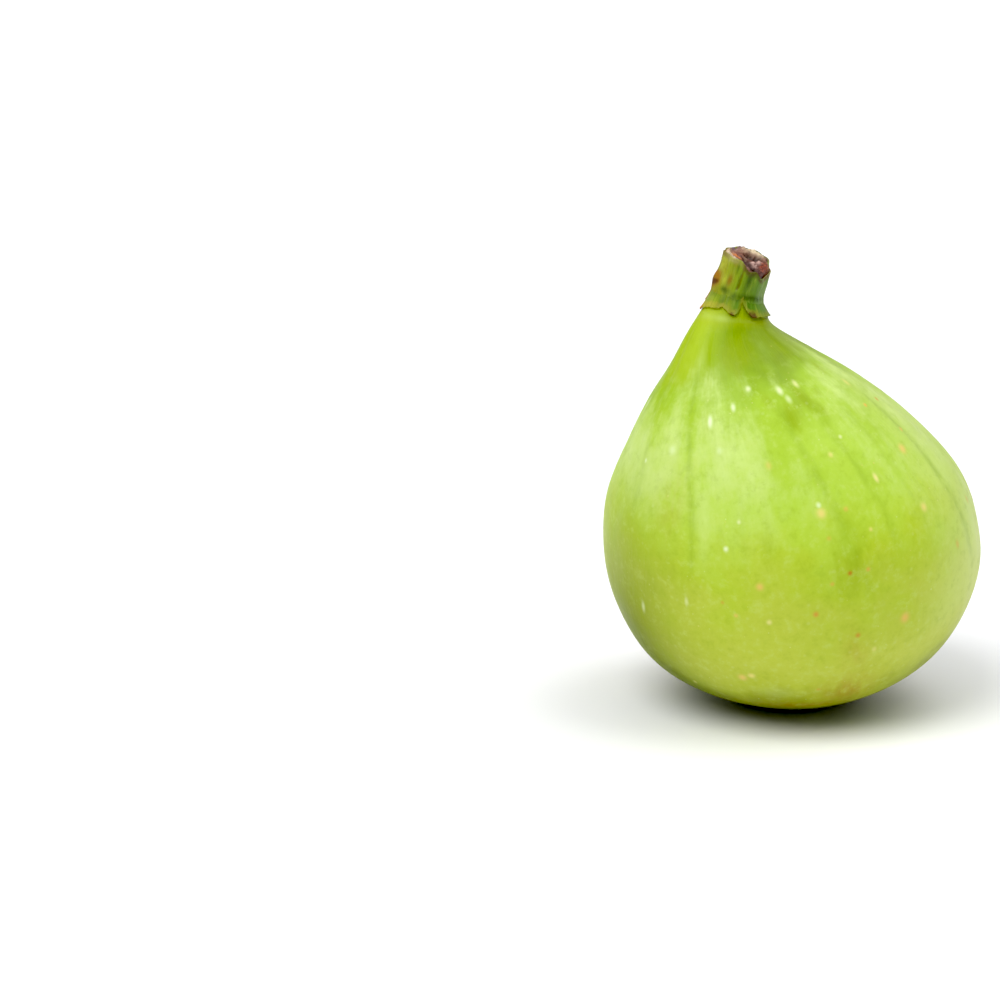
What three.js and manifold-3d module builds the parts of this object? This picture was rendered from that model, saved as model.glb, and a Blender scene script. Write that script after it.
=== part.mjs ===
// A fresh green fig, whole, as picked, standing on a table on its own rounded underside.
// It grew as one piece, so it is one solid: a plump skin with shallow grooves down from the
// neck, a sunken eye closed by small scales underneath, a collar of three bracts round the
// neck, and a short stalk that was cut off at a slant.
// Millimetres, +Z up. The viewer stands at -Y and sees +X on the right. The origin is the
// middle of the small flat spot that the fig rests on, on the table.
import * as THREE from 'three';
import { mergeVertices } from 'three/addons/utils/BufferGeometryUtils.js';
import Module from 'manifold-3d';

// The skin is lofted through flat rings. Each ring is a radius, a middle and a lean: nod
// leans its axis towards the viewer, roll leans it to the right, both in degrees.
// The rings of the underside share one axis, which leads down from this point in the belly.
const UNDERSIDE_AXIS = { x: 0.15, y: 1.8, z: 25.3, nod: 20, roll: -4 };

// Rings of the underside, from the middle of the eye outwards: radius, and depth down the axis.
const UNDERSIDE = [
  [0, 22.7],
  [3.4, 23.5],
  [6.6, 24.3],
  [12.1, 23.0],
  [17.9, 19.0],
  [23.2, 14.0],
  [26.3, 7.0],
];

// Rings from the belly, which is the widest, up to the stalk's end: radius, x, y, z, nod, roll.
const UPPERSIDE = [
  [27.2, -0.1, 1.8, 25.3, 20, -4],
  [25.6, -1.55, -1.1, 33.3, 13, -4],
  [20.7, -4.0, -2.9, 41.3, 8, -6],
  [15.4, -6.7, -3.9, 47.8, 4, -8],
  [10.15, -8.65, -4.3, 52.8, 2, -8],
  [6.45, -9.95, -4.4, 56.6, 0, -5],
  [4.55, -9.5, -4.4, 59.5, 0, 6],
  [3.6, -9.1, -4.3, 62.3, 0, 13],
  [3.48, -8.4, -4.2, 64.5, 0, 14],
  [3.5, -7.7, -4.1, 67.3, 0, 14],
  [3.5, -6.9, -4.0, 70.0, 0, 14],
];

// Places along the loft, counted in rings from the middle of the eye.
const AT_BELLY = UNDERSIDE.length;
const AT_NECK = AT_BELLY + 5;
const AT_COLLAR = AT_BELLY + 6;
const AT_STALK = AT_BELLY + 7;
const AT_END = AT_BELLY + UPPERSIDE.length - 1;

// The fig is a little less deep than it is wide, and its rings are not quite round.
const DEPTH_SHARE = 0.97;
const LOBES = [
  { count: 2, share: 0.01, turn: 20 },
  { count: 3, share: 0.007, turn: -40 },
  { count: 5, share: 0.004, turn: -11 },
];

// Grooves run down the skin from the neck, at these bearings round it. 0 faces the viewer,
// 90 is the right-hand side.
const GROOVE_BEARINGS = [-72, -34, 8, 26, 56, 86, 115, 146, 172, 203, 231, 260];
const GROOVE_HALF_WIDTH = 5.5;
const GROOVE_DEPTH = 0.18;

// The cut through the stalk: its middle, its slant and its twist. It was torn lower at the near
// right and higher at the far left, and the pith shrank below it. These places on the cut are
// to the right of its middle and away from the viewer.
const CUT = { x: -7.8, y: -4.1, z: 66.9, nod: 15, roll: 21, twist: 0.06 };
const TORN = [
  { right: 2.3, away: -2.8, width: 1.7, height: -0.55 },
  { right: -1.5, away: 3.0, width: 2.0, height: 0.3 },
];
const PITH = { right: 0.7, away: 0.8, radius: 1.7, depth: 0.75 };

// The stalk is ribbed lengthwise, and a leaf scar stands out of the left of it.
const STALK_RIBS = { count: 9, height: 0.12 };
const SCAR = { bearing: -80, at: AT_STALK + 0.55, height: 0.38, spread: 26, length: 0.6 };

// Three bracts hang from the foot of the stalk over the top of the neck.
const BRACTS = { bearings: [-42, 56, 178], half_width: 57, root: AT_STALK + 0.1, tip: AT_COLLAR - 0.05 };
const BRACT_LIFT = 0.5;

// Two whorls of scales close the eye.
const EYE_WHORLS = [
  { count: 6, turn: 0, half_width: 2.1, root: 1.35, tip: 0.42, lift: 0.75 },
  { count: 5, turn: 20, half_width: 1.1, root: 0.75, tip: 0.16, lift: 0.5 },
];

const AROUND = 80;
const RINGS_ALONG = 51;
const TABLE = { width: 120, thickness: 10 };
const SKIN_COLOUR = 0xb5d553;

const degrees = THREE.MathUtils.degToRad;

function leaningAxis(nod, roll) {
  const tilt = new THREE.Euler(degrees(nod), degrees(roll), 0, 'YXZ');
  return new THREE.Vector3(0, 0, 1).applyEuler(tilt);
}

const underAxis = leaningAxis(UNDERSIDE_AXIS.nod, UNDERSIDE_AXIS.roll);

// All the rings as rows of six numbers: radius, x, y, z, nod, roll.
const rings = [
  ...UNDERSIDE.map(([radius, depth]) => [
    radius,
    UNDERSIDE_AXIS.x - depth * underAxis.x,
    UNDERSIDE_AXIS.y - depth * underAxis.y,
    UNDERSIDE_AXIS.z - depth * underAxis.z,
    UNDERSIDE_AXIS.nod,
    UNDERSIDE_AXIS.roll,
  ]),
  ...UPPERSIDE,
];

// A value of the rings at a place along the loft, on a smooth curve through them all.
function along(place, column) {
  const last = rings.length - 1;
  const i = Math.min(Math.floor(place), last - 1);
  const value = (k) => rings[THREE.MathUtils.clamp(k, 0, last)][column];
  const slope = (k) => (value(k + 1) - value(k - 1)) / (k === 0 || k === last ? 1 : 2);
  const x = place - i;
  const turned = x * x * (3 - 2 * x);
  return (
    value(i) * (1 - turned) +
    value(i + 1) * turned +
    slope(i) * x * (1 - x) * (1 - x) -
    slope(i + 1) * x * x * (1 - x)
  );
}

// The difference of two bearings, from -180 to 180 degrees.
function apart(a, b) {
  return THREE.MathUtils.euclideanModulo(a - b + 180, 360) - 180;
}

function bump(distance, width) {
  return Math.exp(-((distance / width) ** 2));
}

// How far the skin stands out of its plain ring, in millimetres.
function relief(bearing, place, radius) {
  const lobes = LOBES.reduce(
    (sum, lobe) => sum + lobe.share * Math.cos(lobe.count * degrees(bearing - 90 - lobe.turn)),
    0,
  );
  const rise = THREE.MathUtils.smoothstep(place, AT_BELLY - 2, AT_BELLY + 2);
  const fall = 1 - THREE.MathUtils.smoothstep(place, AT_NECK - 0.6, AT_COLLAR);
  const groove = GROOVE_BEARINGS.reduce(
    (sum, at) => sum + bump(apart(bearing, at), GROOVE_HALF_WIDTH),
    0,
  );
  const scar =
    SCAR.height *
    bump(apart(bearing, SCAR.bearing), SCAR.spread) *
    bump(place - SCAR.at, SCAR.length);
  const ribs =
    STALK_RIBS.height *
    THREE.MathUtils.smoothstep(place, AT_COLLAR, AT_STALK + 0.5) *
    Math.cos(STALK_RIBS.count * degrees(bearing));
  return radius * lobes - GROOVE_DEPTH * rise * fall * groove + scar + ribs;
}

// The point of the skin at a bearing and a place along the loft, lifted outwards.
function skinPoint(bearing, place, lift = 0) {
  const [radius, x, y, z, nod, roll] = [0, 1, 2, 3, 4, 5].map((column) => along(place, column));
  const reach = radius + relief(bearing, place, radius);
  const point = new THREE.Vector3(
    reach * Math.sin(degrees(bearing)),
    -reach * Math.cos(degrees(bearing)) * DEPTH_SHARE,
    0,
  );
  point.applyEuler(new THREE.Euler(degrees(nod), degrees(roll), 0, 'YXZ'));
  point.add(new THREE.Vector3(x, y, z));
  return lift === 0 ? point : point.addScaledVector(skinNormal(bearing, place), lift);
}

function skinNormal(bearing, place) {
  const step = 0.02;
  const low = Math.max(place, step);
  const round = skinPoint(bearing + 1, low).sub(skinPoint(bearing - 1, low));
  const up = skinPoint(bearing, low + step).sub(skinPoint(bearing, low - step));
  return round.cross(up).normalize();
}

function solidFrom(points, faces) {
  const geometry = new THREE.BufferGeometry();
  geometry.setAttribute(
    'position',
    new THREE.Float32BufferAttribute(points.flatMap((p) => p.toArray()), 3),
  );
  geometry.setIndex(faces.flat());
  return geometry;
}

// The whole fig as one closed loft: a point in the eye, the rings, and a point in the stalk.
function loftGeometry() {
  const points = [skinPoint(0, 0)];
  const faces = [];
  for (let ring = 1; ring <= RINGS_ALONG; ring += 1) {
    for (let i = 0; i < AROUND; i += 1) {
      points.push(skinPoint((360 * i) / AROUND, (AT_END * ring) / RINGS_ALONG));
    }
  }
  points.push(new THREE.Vector3(along(AT_END, 1), along(AT_END, 2), along(AT_END, 3)));
  const top = points.length - 1;
  const at = (ring, i) => 1 + (ring - 1) * AROUND + (i % AROUND);
  for (let i = 0; i < AROUND; i += 1) {
    faces.push([0, at(1, i + 1), at(1, i)]);
    faces.push([top, at(RINGS_ALONG, i), at(RINGS_ALONG, i + 1)]);
    for (let ring = 1; ring < RINGS_ALONG; ring += 1) {
      faces.push([at(ring, i), at(ring, i + 1), at(ring + 1, i + 1)]);
      faces.push([at(ring, i), at(ring + 1, i + 1), at(ring + 1, i)]);
    }
  }
  return solidFrom(points, faces);
}

// A scale that lies on the skin, rooted at one place along the loft and pointing to another.
// halfWidth gives its half width in degrees at each share of its length, and lift gives how
// far its outer face stands off the skin. Its inner face is sunk into the skin.
function scaleGeometry({ bearing, root, tip, halfWidth, lift, across = 8, lengthwise = 5 }) {
  const sunk = -0.5;
  const points = [];
  const faces = [];
  for (const outer of [true, false]) {
    for (let j = 0; j <= lengthwise; j += 1) {
      const share = j / lengthwise;
      const place = THREE.MathUtils.lerp(root, tip, share);
      for (let i = 0; i <= across; i += 1) {
        const side = (2 * i) / across - 1;
        points.push(
          skinPoint(bearing + side * halfWidth(share), place, outer ? lift(share, side) : sunk),
        );
      }
    }
  }
  const inner = (lengthwise + 1) * (across + 1);
  const at = (i, j) => j * (across + 1) + i;
  const quad = (a, b, c, d) => faces.push([a, b, c], [a, c, d]);
  for (let j = 0; j < lengthwise; j += 1) {
    for (let i = 0; i < across; i += 1) {
      quad(at(i, j), at(i, j + 1), at(i + 1, j + 1), at(i + 1, j));
      quad(inner + at(i, j), inner + at(i + 1, j), inner + at(i + 1, j + 1), inner + at(i, j + 1));
    }
    quad(at(0, j), inner + at(0, j), inner + at(0, j + 1), at(0, j + 1));
    quad(at(across, j), at(across, j + 1), inner + at(across, j + 1), inner + at(across, j));
  }
  for (let i = 0; i < across; i += 1) {
    quad(at(i, 0), at(i + 1, 0), inner + at(i + 1, 0), inner + at(i, 0));
    const end = lengthwise;
    quad(at(i, end), inner + at(i, end), inner + at(i + 1, end), at(i + 1, end));
  }
  return solidFrom(points, faces);
}

// A bract is widest near its root, blunt at its tip, and stands off most at its free edge.
function bractGeometry(bearing) {
  return scaleGeometry({
    bearing,
    root: BRACTS.root,
    tip: BRACTS.tip,
    halfWidth: (share) => BRACTS.half_width * (1 - 0.55 * share ** 3),
    lift: (share, side) => BRACT_LIFT * (0.35 + 0.65 * share) * (1 - 0.3 * side * side),
    across: 12,
  });
}

// A scale of the eye. Its width is a length, so its angle grows towards the middle.
function eyeScaleGeometry(whorl, index) {
  return scaleGeometry({
    bearing: whorl.turn + (360 * index) / whorl.count,
    root: whorl.root,
    tip: whorl.tip,
    halfWidth: (share) => {
      const radius = along(THREE.MathUtils.lerp(whorl.root, whorl.tip, share), 0);
      const width = whorl.half_width * Math.sqrt(1 - 0.9 * share * share);
      return THREE.MathUtils.radToDeg(Math.atan2(width, radius));
    },
    lift: (share, side) => whorl.lift * (0.3 + 0.7 * share) * (1 - 0.35 * side * side),
    across: 6,
    lengthwise: 4,
  });
}

const wasm = await Module();
wasm.setup();

function toManifold(geometry) {
  const bare = geometry.clone();
  bare.deleteAttribute('normal');
  bare.deleteAttribute('uv');
  const merged = mergeVertices(bare, 1e-4);
  return new wasm.Manifold(
    new wasm.Mesh({
      numProp: 3,
      vertProperties: merged.attributes.position.array,
      triVerts: new Uint32Array(merged.index.array),
    }),
  );
}

function toGeometry(manifold) {
  const mesh = manifold.getMesh();
  const geometry = new THREE.BufferGeometry();
  geometry.setAttribute('position', new THREE.BufferAttribute(mesh.vertProperties, 3));
  geometry.setIndex(new THREE.BufferAttribute(mesh.triVerts, 1));
  geometry.computeVertexNormals();
  return geometry;
}

// The table's top is at z = 0. What reaches below it becomes the flat spot.
function tableGeometry() {
  const box = new THREE.BoxGeometry(TABLE.width, TABLE.width, TABLE.thickness);
  return box.translate(0, 0, -TABLE.thickness / 2);
}

// How far the cut stands off its plane.
function cutHeight(right, away) {
  return TORN.reduce(
    (sum, spot) => sum + spot.height * bump(Math.hypot(right - spot.right, away - spot.away), spot.width),
    CUT.twist * right * away,
  );
}

function turnToCut(geometry) {
  const turn = new THREE.Euler(degrees(CUT.nod), degrees(CUT.roll), 0, 'YXZ');
  const matrix = new THREE.Matrix4().makeRotationFromEuler(turn);
  return geometry.applyMatrix4(matrix.setPosition(CUT.x, CUT.y, CUT.z));
}

// What is taken off: all of the stalk above the cut. Its underside has the cut's shape.
function bladeGeometry() {
  const size = 10;
  const box = new THREE.BoxGeometry(size, size, size, 20, 20, 1).translate(0, 0, size / 2);
  const position = box.attributes.position;
  for (let i = 0; i < position.count; i += 1) {
    if (position.getZ(i) < size / 2) {
      position.setZ(i, cutHeight(position.getX(i), position.getY(i)));
    }
  }
  return turnToCut(box);
}

function pithHollowGeometry() {
  const ball = new THREE.IcosahedronGeometry(PITH.radius, 1);
  ball.scale(1, 1, PITH.depth / PITH.radius);
  return turnToCut(ball.translate(PITH.right, PITH.away, 0));
}

let body = toManifold(loftGeometry());
for (const bearing of BRACTS.bearings) {
  body = body.add(toManifold(bractGeometry(bearing)));
}
for (const whorl of EYE_WHORLS) {
  for (let i = 0; i < whorl.count; i += 1) {
    body = body.add(toManifold(eyeScaleGeometry(whorl, i)));
  }
}
for (const taken of [tableGeometry(), bladeGeometry(), pithHollowGeometry()]) {
  body = body.subtract(toManifold(taken));
}

const fig = new THREE.Mesh(
  toGeometry(body),
  new THREE.MeshStandardMaterial({ color: SKIN_COLOUR, roughness: 0.42, metalness: 0 }),
);
fig.name = 'fig';

const part = new THREE.Group();
part.add(fig);

export default part;
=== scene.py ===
# The looks of a fresh green fig that stands on its rounded underside: a streaked waxy skin with
# pale flecks and pores, a collar of three bracts, a ribbed stalk with a dry slanted cut, and the
# scaly eye underneath.
# Shapes are worked out in millimetres and become metres when they are made meshes.
import math

import bpy
import numpy as np
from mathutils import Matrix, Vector, noise


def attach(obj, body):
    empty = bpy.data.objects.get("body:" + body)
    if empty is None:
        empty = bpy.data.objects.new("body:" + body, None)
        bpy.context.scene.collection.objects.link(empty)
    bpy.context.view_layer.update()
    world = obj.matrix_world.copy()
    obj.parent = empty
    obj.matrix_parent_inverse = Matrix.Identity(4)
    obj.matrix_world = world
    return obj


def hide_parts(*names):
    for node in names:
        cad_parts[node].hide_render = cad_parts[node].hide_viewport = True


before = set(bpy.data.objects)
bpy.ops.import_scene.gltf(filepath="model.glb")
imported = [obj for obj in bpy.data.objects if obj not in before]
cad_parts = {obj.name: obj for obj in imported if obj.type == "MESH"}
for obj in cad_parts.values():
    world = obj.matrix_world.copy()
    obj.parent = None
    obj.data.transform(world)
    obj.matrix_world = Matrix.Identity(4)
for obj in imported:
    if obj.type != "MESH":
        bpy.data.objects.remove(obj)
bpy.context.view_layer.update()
MM = 0.001

# The photograph's view of the fig: the camera's height over the horizon, its lens, and where the
# middle of the flat spot that the fig rests on lies in the picture and in depth.
PHOTO_SIZE = 1000
CAMERA_ELEVATION = 14.0
LENS_MM = 100.0
SENSOR_MM = 36.0
REST_PIXEL = (788.3, 702.8)
REST_DEPTH = 411.15

# The rings that the skin is lofted through, as in the solid.
UNDERSIDE_AXIS = {"x": 0.15, "y": 1.8, "z": 25.3, "nod": 20.0, "roll": -4.0}
UNDERSIDE = [(0, 22.7), (3.4, 23.5), (6.6, 24.3), (12.1, 23.0), (17.9, 19.0), (23.2, 14.0), (26.3, 7.0)]
UPPERSIDE = [
    (27.2, -0.1, 1.8, 25.3, 20, -4),
    (25.6, -1.55, -1.1, 33.3, 13, -4),
    (20.7, -4.0, -2.9, 41.3, 8, -6),
    (15.4, -6.7, -3.9, 47.8, 4, -8),
    (10.15, -8.65, -4.3, 52.8, 2, -8),
    (6.45, -9.95, -4.4, 56.6, 0, -5),
    (4.55, -9.5, -4.4, 59.5, 0, 6),
    (3.6, -9.1, -4.3, 62.3, 0, 13),
    (3.48, -8.4, -4.2, 64.5, 0, 14),
    (3.5, -7.7, -4.1, 67.3, 0, 14),
    (3.5, -6.9, -4.0, 70.0, 0, 14),
]
AT_BELLY = len(UNDERSIDE)
AT_NECK = AT_BELLY + 5
AT_COLLAR = AT_BELLY + 6
AT_STALK = AT_BELLY + 7
AT_END = AT_BELLY + len(UPPERSIDE) - 1
DEPTH_SHARE = 0.97
LOBES = [(2, 0.01, 20), (3, 0.007, -40), (5, 0.004, -11)]
GROOVE_BEARINGS = [-72, -34, 8, 26, 56, 86, 115, 146, 172, 203, 231, 260]
GROOVE_HALF_WIDTH = 5.5
GROOVE_DEPTH = 0.18
STALK_RIBS = {"count": 9, "height": 0.12}
SCAR = {"bearing": -80, "at": AT_STALK + 0.55, "height": 0.38, "spread": 26, "length": 0.6}
CUT = {"x": -7.8, "y": -4.1, "z": 66.9, "nod": 15, "roll": 21, "twist": 0.06}
# Where the cut was torn lower or higher: millimetres right and away, width, and height.
TORN = [(2.3, -2.8, 1.7, -0.55), (-1.5, 3.0, 2.0, 0.3)]

# Finer relief than the solid has, in millimetres.
FINE_TORN = [(-1.2, -3.2, 0.9, 0.4), (1.6, -3.4, 0.6, 0.6), (0.2, -3.5, 0.5, -0.15), (3.4, 0.4, 0.6, -0.25)]
FINE_RIB = 0.02
DENT = 0.12
LINE_DEPTH = 0.05
STALK_FIBRE = 0.09
CRACK = {"bearing": -11, "lean": 2, "half_width": 3.8, "depth": 0.16}

COLUMNS = 420
ROWS = 205
CUT_COLUMNS = 210
CUT_ROWS = 44
SEED = 11

# How much brighter the lit fig looks in the photograph than its own colours are, and how dark a
# light value the photograph shows as black.
LIT = 1.2
BLACK = 0.028


def srgb(red, green, blue):
    """A picture colour, 0 to 255, as the linear colour that the shaders use."""
    shares = [c / 255 for c in (red, green, blue)]
    return (*[c / 12.92 if c <= 0.04045 else ((c + 0.055) / 1.055) ** 2.4 for c in shares], 1.0)


def seen(red, green, blue, lit=LIT):
    """The same for a colour as the photograph shows it, taken back by how brightly it is lit."""
    return (*[c / lit for c in srgb(red, green, blue)[:3]], 1.0)


# Colour washes on the skin, for the side that the photograph shows: bearing, place, half width in
# degrees, half length in places, and strength.
# Pale washes: the skin's own pale streaks, with painted highlight where they lie on the lit upper left
# between places 8.5 and 11 and round the foot of the collar at place 12.8.
PALE_AND_HIGHLIGHT_WASHES = [
    (-78, 9.4, 15, 1.0, 0.8),
    (-50, 9.7, 10, 0.9, 0.8),
    (-58, 8.9, 16, 0.5, 0.55),
    (-46, 10.9, 6, 0.4, 0.3),
    (-27, 9.6, 10, 1.05, 0.85),
    (-31, 10.8, 6, 0.4, 0.3),
    (-24, 10.9, 8, 0.35, 0.35),
    (-40, 11.5, 5, 0.5, 0.3),
    (-11, 9.4, 9, 0.8, 0.7),
    (-3, 10.75, 4, 0.3, 0.35),
    (-14, 8.3, 20, 0.7, 0.2),
    (11, 8.8, 6, 0.5, 0.35),
    (28, 11.6, 7, 0.4, 0.25),
    (17, 10.65, 5, 0.25, 0.4),
    (40, 9.5, 6, 0.7, 0.4),
    (51, 10.3, 8, 0.8, 0.65),
    (73, 10.6, 13, 1.0, 0.75),
    (82, 9.2, 14, 0.7, 0.65),
    (50, 8.4, 9, 0.6, 0.35),
    (-32, 8.3, 2.2, 0.5, 0.3),
    (48, 6.9, 14, 0.8, 0.45),
    (72, 7.5, 16, 1.3, 0.6),
    (-12, 5.5, 10, 0.25, 0.45),
    (-58, 12.85, 22, 0.22, 0.4),
    (-25, 12.85, 16, 0.2, 0.4),
    (15, 12.8, 30, 0.15, 0.25),
]
DEEP_WASHES = [
    (-2, 11.8, 17, 0.5, 0.7),
    (-12, 11.35, 9, 0.35, 0.9),
    (6, 11.4, 9, 0.25, 0.5),
    (-5, 11.05, 4, 0.3, 0.5),
    (16, 12.1, 14, 0.5, 0.4),
    (-65, 12.0, 14, 0.3, 0.4),
    (14, 9.95, 5, 0.3, 0.75),
    (6, 10.35, 4, 0.25, 0.5),
    (27, 10.25, 5, 0.28, 0.85),
    (20, 10.1, 5, 0.2, 0.3),
    (33, 9.95, 4, 0.2, 0.5),
    (39, 10.3, 3, 0.2, 0.6),
    (60, 10.7, 3, 0.25, 0.6),
    (45, 11.5, 14, 0.35, 0.5),
    (16, 8.3, 6, 0.5, 0.35),
    (13, 7.7, 14, 0.35, 0.35),
    (-15, 8.3, 16, 0.25, 0.3),
    (-45, 7.6, 10, 0.5, 0.4),
]
# Painted shade: darker olive washes where shade falls, low on the left, along the bottom on the left and low
# on the right.
PAINTED_SHADE_WASHES = [
    (-65, 5.9, 22, 2.2, 1.0),
    (-42, 4.9, 18, 0.4, 0.6),
    (44, 5.2, 22, 0.5, 0.35),
    (-50, 5.1, 14, 0.5, 0.35),
]
RUSSET_WASHES = [
    (12, 5.4, 8, 0.45, 0.5),
    (13, 6.6, 4, 0.5, 0.2),
    (-4, 4.9, 14, 0.16, 0.6),
    (-45, 8.6, 6, 0.5, 0.15),
]
# Colour washes on the stalk, given in the same way.
STALK_BRIGHT = [
    (-67, 15.5, 14, 0.4, 0.8),
    (-50, 14.72, 8, 0.22, 1.0),
    (-45, 15.85, 14, 0.14, 0.8),
    (160, 15.0, 16, 0.5, 0.7),
]
STALK_BROWN = [
    (-34, 14.75, 6, 0.36, 0.9),
    (-73, 14.78, 9, 0.25, 0.9),
    (12, 15.5, 8, 0.14, 0.6),
    (-30, 15.7, 6, 0.2, 0.5),
    (200, 14.6, 7, 0.3, 0.7),
    (118, 15.2, 5, 0.3, 0.5),
]
STALK_DARK = [
    (-40, 14.1, 11, 0.16, 1.0),
    (-8, 13.85, 18, 0.2, 0.8),
    (-34, 13.55, 6, 0.3, 0.6),
    (36, 13.97, 32, 0.15, 1.2),
    (80, 13.5, 14, 0.3, 0.5),
    (10, 15.1, 8, 0.5, 0.8),
    (-22, 15.5, 6, 0.4, 0.4),
    (-62, 13.75, 20, 0.12, 0.4),
    (150, 14.0, 50, 0.12, 0.8),
    (230, 14.05, 40, 0.12, 0.8),
]
# For the other sides, how many of each are drawn, and the ranges of the same five values.
HIDDEN_BEARINGS = (100, 260)
HIDDEN_PALE = (11, [HIDDEN_BEARINGS, (8.4, 11.2), (5, 14), (0.5, 1.2), (0.3, 0.9)])
HIDDEN_DEEP = (9, [HIDDEN_BEARINGS, (7.6, 12.2), (4, 14), (0.25, 0.6), (0.4, 0.9)])
HIDDEN_RUSSET = (5, [HIDDEN_BEARINGS, (4.6, 7.0), (4, 12), (0.2, 0.5), (0.2, 0.5)])

# Thin dark lines down the skin: how strong, and place, bearing and half width at points of each.
LINES = [
    (0.8, [(7.9, -36, 1.0), (8.4, -36, 1.2), (9.0, -38, 1.5), (10.0, -40, 1.6), (11.0, -41, 2.5)]),
    (0.7, [(7.9, 16, 2.5), (8.4, 16.5, 2.4), (9.0, 14, 1.8), (9.6, 11.5, 2.0), (10.3, 10, 3.5)]),
    (0.7, [(8.1, 32.5, 1.6), (8.7, 32, 1.6), (9.4, 30, 2.0), (10.1, 29, 3.5)]),
    (1.0, [(7.3, 65.5, 1.5), (8.2, 66, 1.7), (9.0, 68, 1.8), (9.8, 67, 1.4)]),
    (0.5, [(8.3, -63, 2.0), (8.8, -63.5, 1.8), (9.5, -65, 1.5)]),
    (0.2, [(7.8, -18, 1.2), (8.3, -18, 1.4), (8.8, -17, 1.0)]),
    (0.35, [(8.0, 46, 1.4), (8.8, 47, 1.6), (9.9, 45, 1.2)]),
    (0.5, [(10.0, 22, 2.0), (10.8, 24, 2.2), (11.6, 29, 3.0)]),
]
HIDDEN_LINES = 9
# How far, in places, each end of a line fades out past its last point and within it.
LINE_FADE_OUTSIDE = 0.35
LINE_FADE_INSIDE = 0.2

# Shape of the skin


def drawn(count, ranges, seed):
    """Rows of values drawn evenly from their ranges."""
    draw = np.random.default_rng(seed)
    return [tuple(draw.uniform(low, high) for low, high in ranges) for _ in range(count)]


def all_lines():
    """The seen lines, and others like them down the sides that the photograph doesn't show."""
    ranges = [HIDDEN_BEARINGS, (7.2, 8.4), (9.2, 11.0), (1.2, 2.2), (-3, 3), (0.35, 0.9)]
    lines = list(LINES)
    for at, low, high, width, sway, strength in drawn(HIDDEN_LINES, ranges, SEED + 4):
        course = [(low, at, width), ((low + high) / 2, at + sway, width), (high, at, width * 1.4)]
        lines.append((strength, course))
    return lines


def leaning_axis(nod, roll):
    nod, roll = math.radians(nod), math.radians(roll)
    return np.array([math.cos(nod) * math.sin(roll), -math.sin(nod), math.cos(nod) * math.cos(roll)])


UNDER_TOP = np.array([UNDERSIDE_AXIS["x"], UNDERSIDE_AXIS["y"], UNDERSIDE_AXIS["z"]])
UNDER_LEAN = (UNDERSIDE_AXIS["nod"], UNDERSIDE_AXIS["roll"])
UNDER_AXIS = leaning_axis(*UNDER_LEAN)
UNDER_RINGS = [(radius, *(UNDER_TOP - depth * UNDER_AXIS), *UNDER_LEAN) for radius, depth in UNDERSIDE]
RINGS = np.array(UNDER_RINGS + UPPERSIDE, dtype=float)
RING_SLOPES = np.gradient(RINGS, axis=0)


def along(place, column):
    """Values of the rings at places along the loft, on a smooth curve through them all."""
    i = np.clip(np.floor(place).astype(int), 0, len(RINGS) - 2)
    x = place - i
    turned = x * x * (3 - 2 * x)
    values, slopes = RINGS[:, column], RING_SLOPES[:, column]
    return (
        values[i] * (1 - turned)
        + values[i + 1] * turned
        + slopes[i] * x * (1 - x) ** 2
        - slopes[i + 1] * x * x * (1 - x)
    )


def apart(a, b):
    """The difference of two bearings, from -180 to 180 degrees."""
    return (a - b + 180) % 360 - 180


def bump(distance, width):
    return np.exp(-((distance / width) ** 2))


def smoothstep(value, low, high):
    share = np.clip((value - low) / (high - low), 0, 1)
    return share * share * (3 - 2 * share)


def noise_at(x, y, z):
    """Smooth noise, from about -1 to 1, at arrays of points."""
    x, y, z = np.broadcast_arrays(x, y, z)
    values = [noise.noise(Vector(p)) for p in zip(x.ravel(), y.ravel(), z.ravel())]
    return np.array(values).reshape(x.shape)


def round_noise(bearing, along_it, fineness):
    """Noise that closes on itself round the fig, with fineness cells to a radian."""
    angle = np.radians(bearing)
    return noise_at(fineness * np.cos(angle), fineness * np.sin(angle), along_it)


def groove_strength(bearing, place):
    rise = smoothstep(place, AT_BELLY - 2, AT_BELLY + 2)
    fall = 1 - smoothstep(place, AT_NECK - 0.6, AT_COLLAR)
    return rise * fall * sum(bump(apart(bearing, at), GROOVE_HALF_WIDTH) for at in GROOVE_BEARINGS)


def line_strength(bearing, place):
    """How strongly the thin dark lines show, which run down the skin from the neck."""
    total = np.zeros(np.broadcast(bearing, place).shape)
    for strength, course in all_lines():
        places, bearings, half_widths = np.array(course).T
        middle = np.interp(place, places, bearings)
        width = np.interp(place, places, half_widths)
        begun = smoothstep(place, places[0] - LINE_FADE_OUTSIDE, places[0] + LINE_FADE_INSIDE)
        over = smoothstep(place, places[-1] - LINE_FADE_INSIDE, places[-1] + LINE_FADE_OUTSIDE)
        total = np.maximum(total, strength * begun * (1 - over) * bump(apart(bearing, middle), width))
    return total


def washed(bearing, place, spots):
    """How strongly soft round washes of colour show, from 0 to 1."""
    total = sum(
        strength * bump(apart(bearing, at), half_width) * bump(place - height, half_length)
        for at, height, half_width, half_length, strength in spots
    )
    return np.clip(total, 0, 1)


def crack_strength(bearing, place):
    middle = CRACK["bearing"] + CRACK["lean"] * (place - AT_STALK - 0.5)
    wander = 0.7 * np.sin(place * 7)
    foot = smoothstep(place, AT_STALK + 0.15, AT_STALK + 0.4)
    ends = foot * (1 - 0.25 * smoothstep(place, AT_STALK + 0.9, AT_STALK + 1.6))
    return bump(apart(bearing, middle + wander), CRACK["half_width"]) * ends


def scar_strength(bearing, place):
    around = bump(apart(bearing, SCAR["bearing"]), SCAR["spread"])
    return around * bump(place - SCAR["at"], SCAR["length"])


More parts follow.
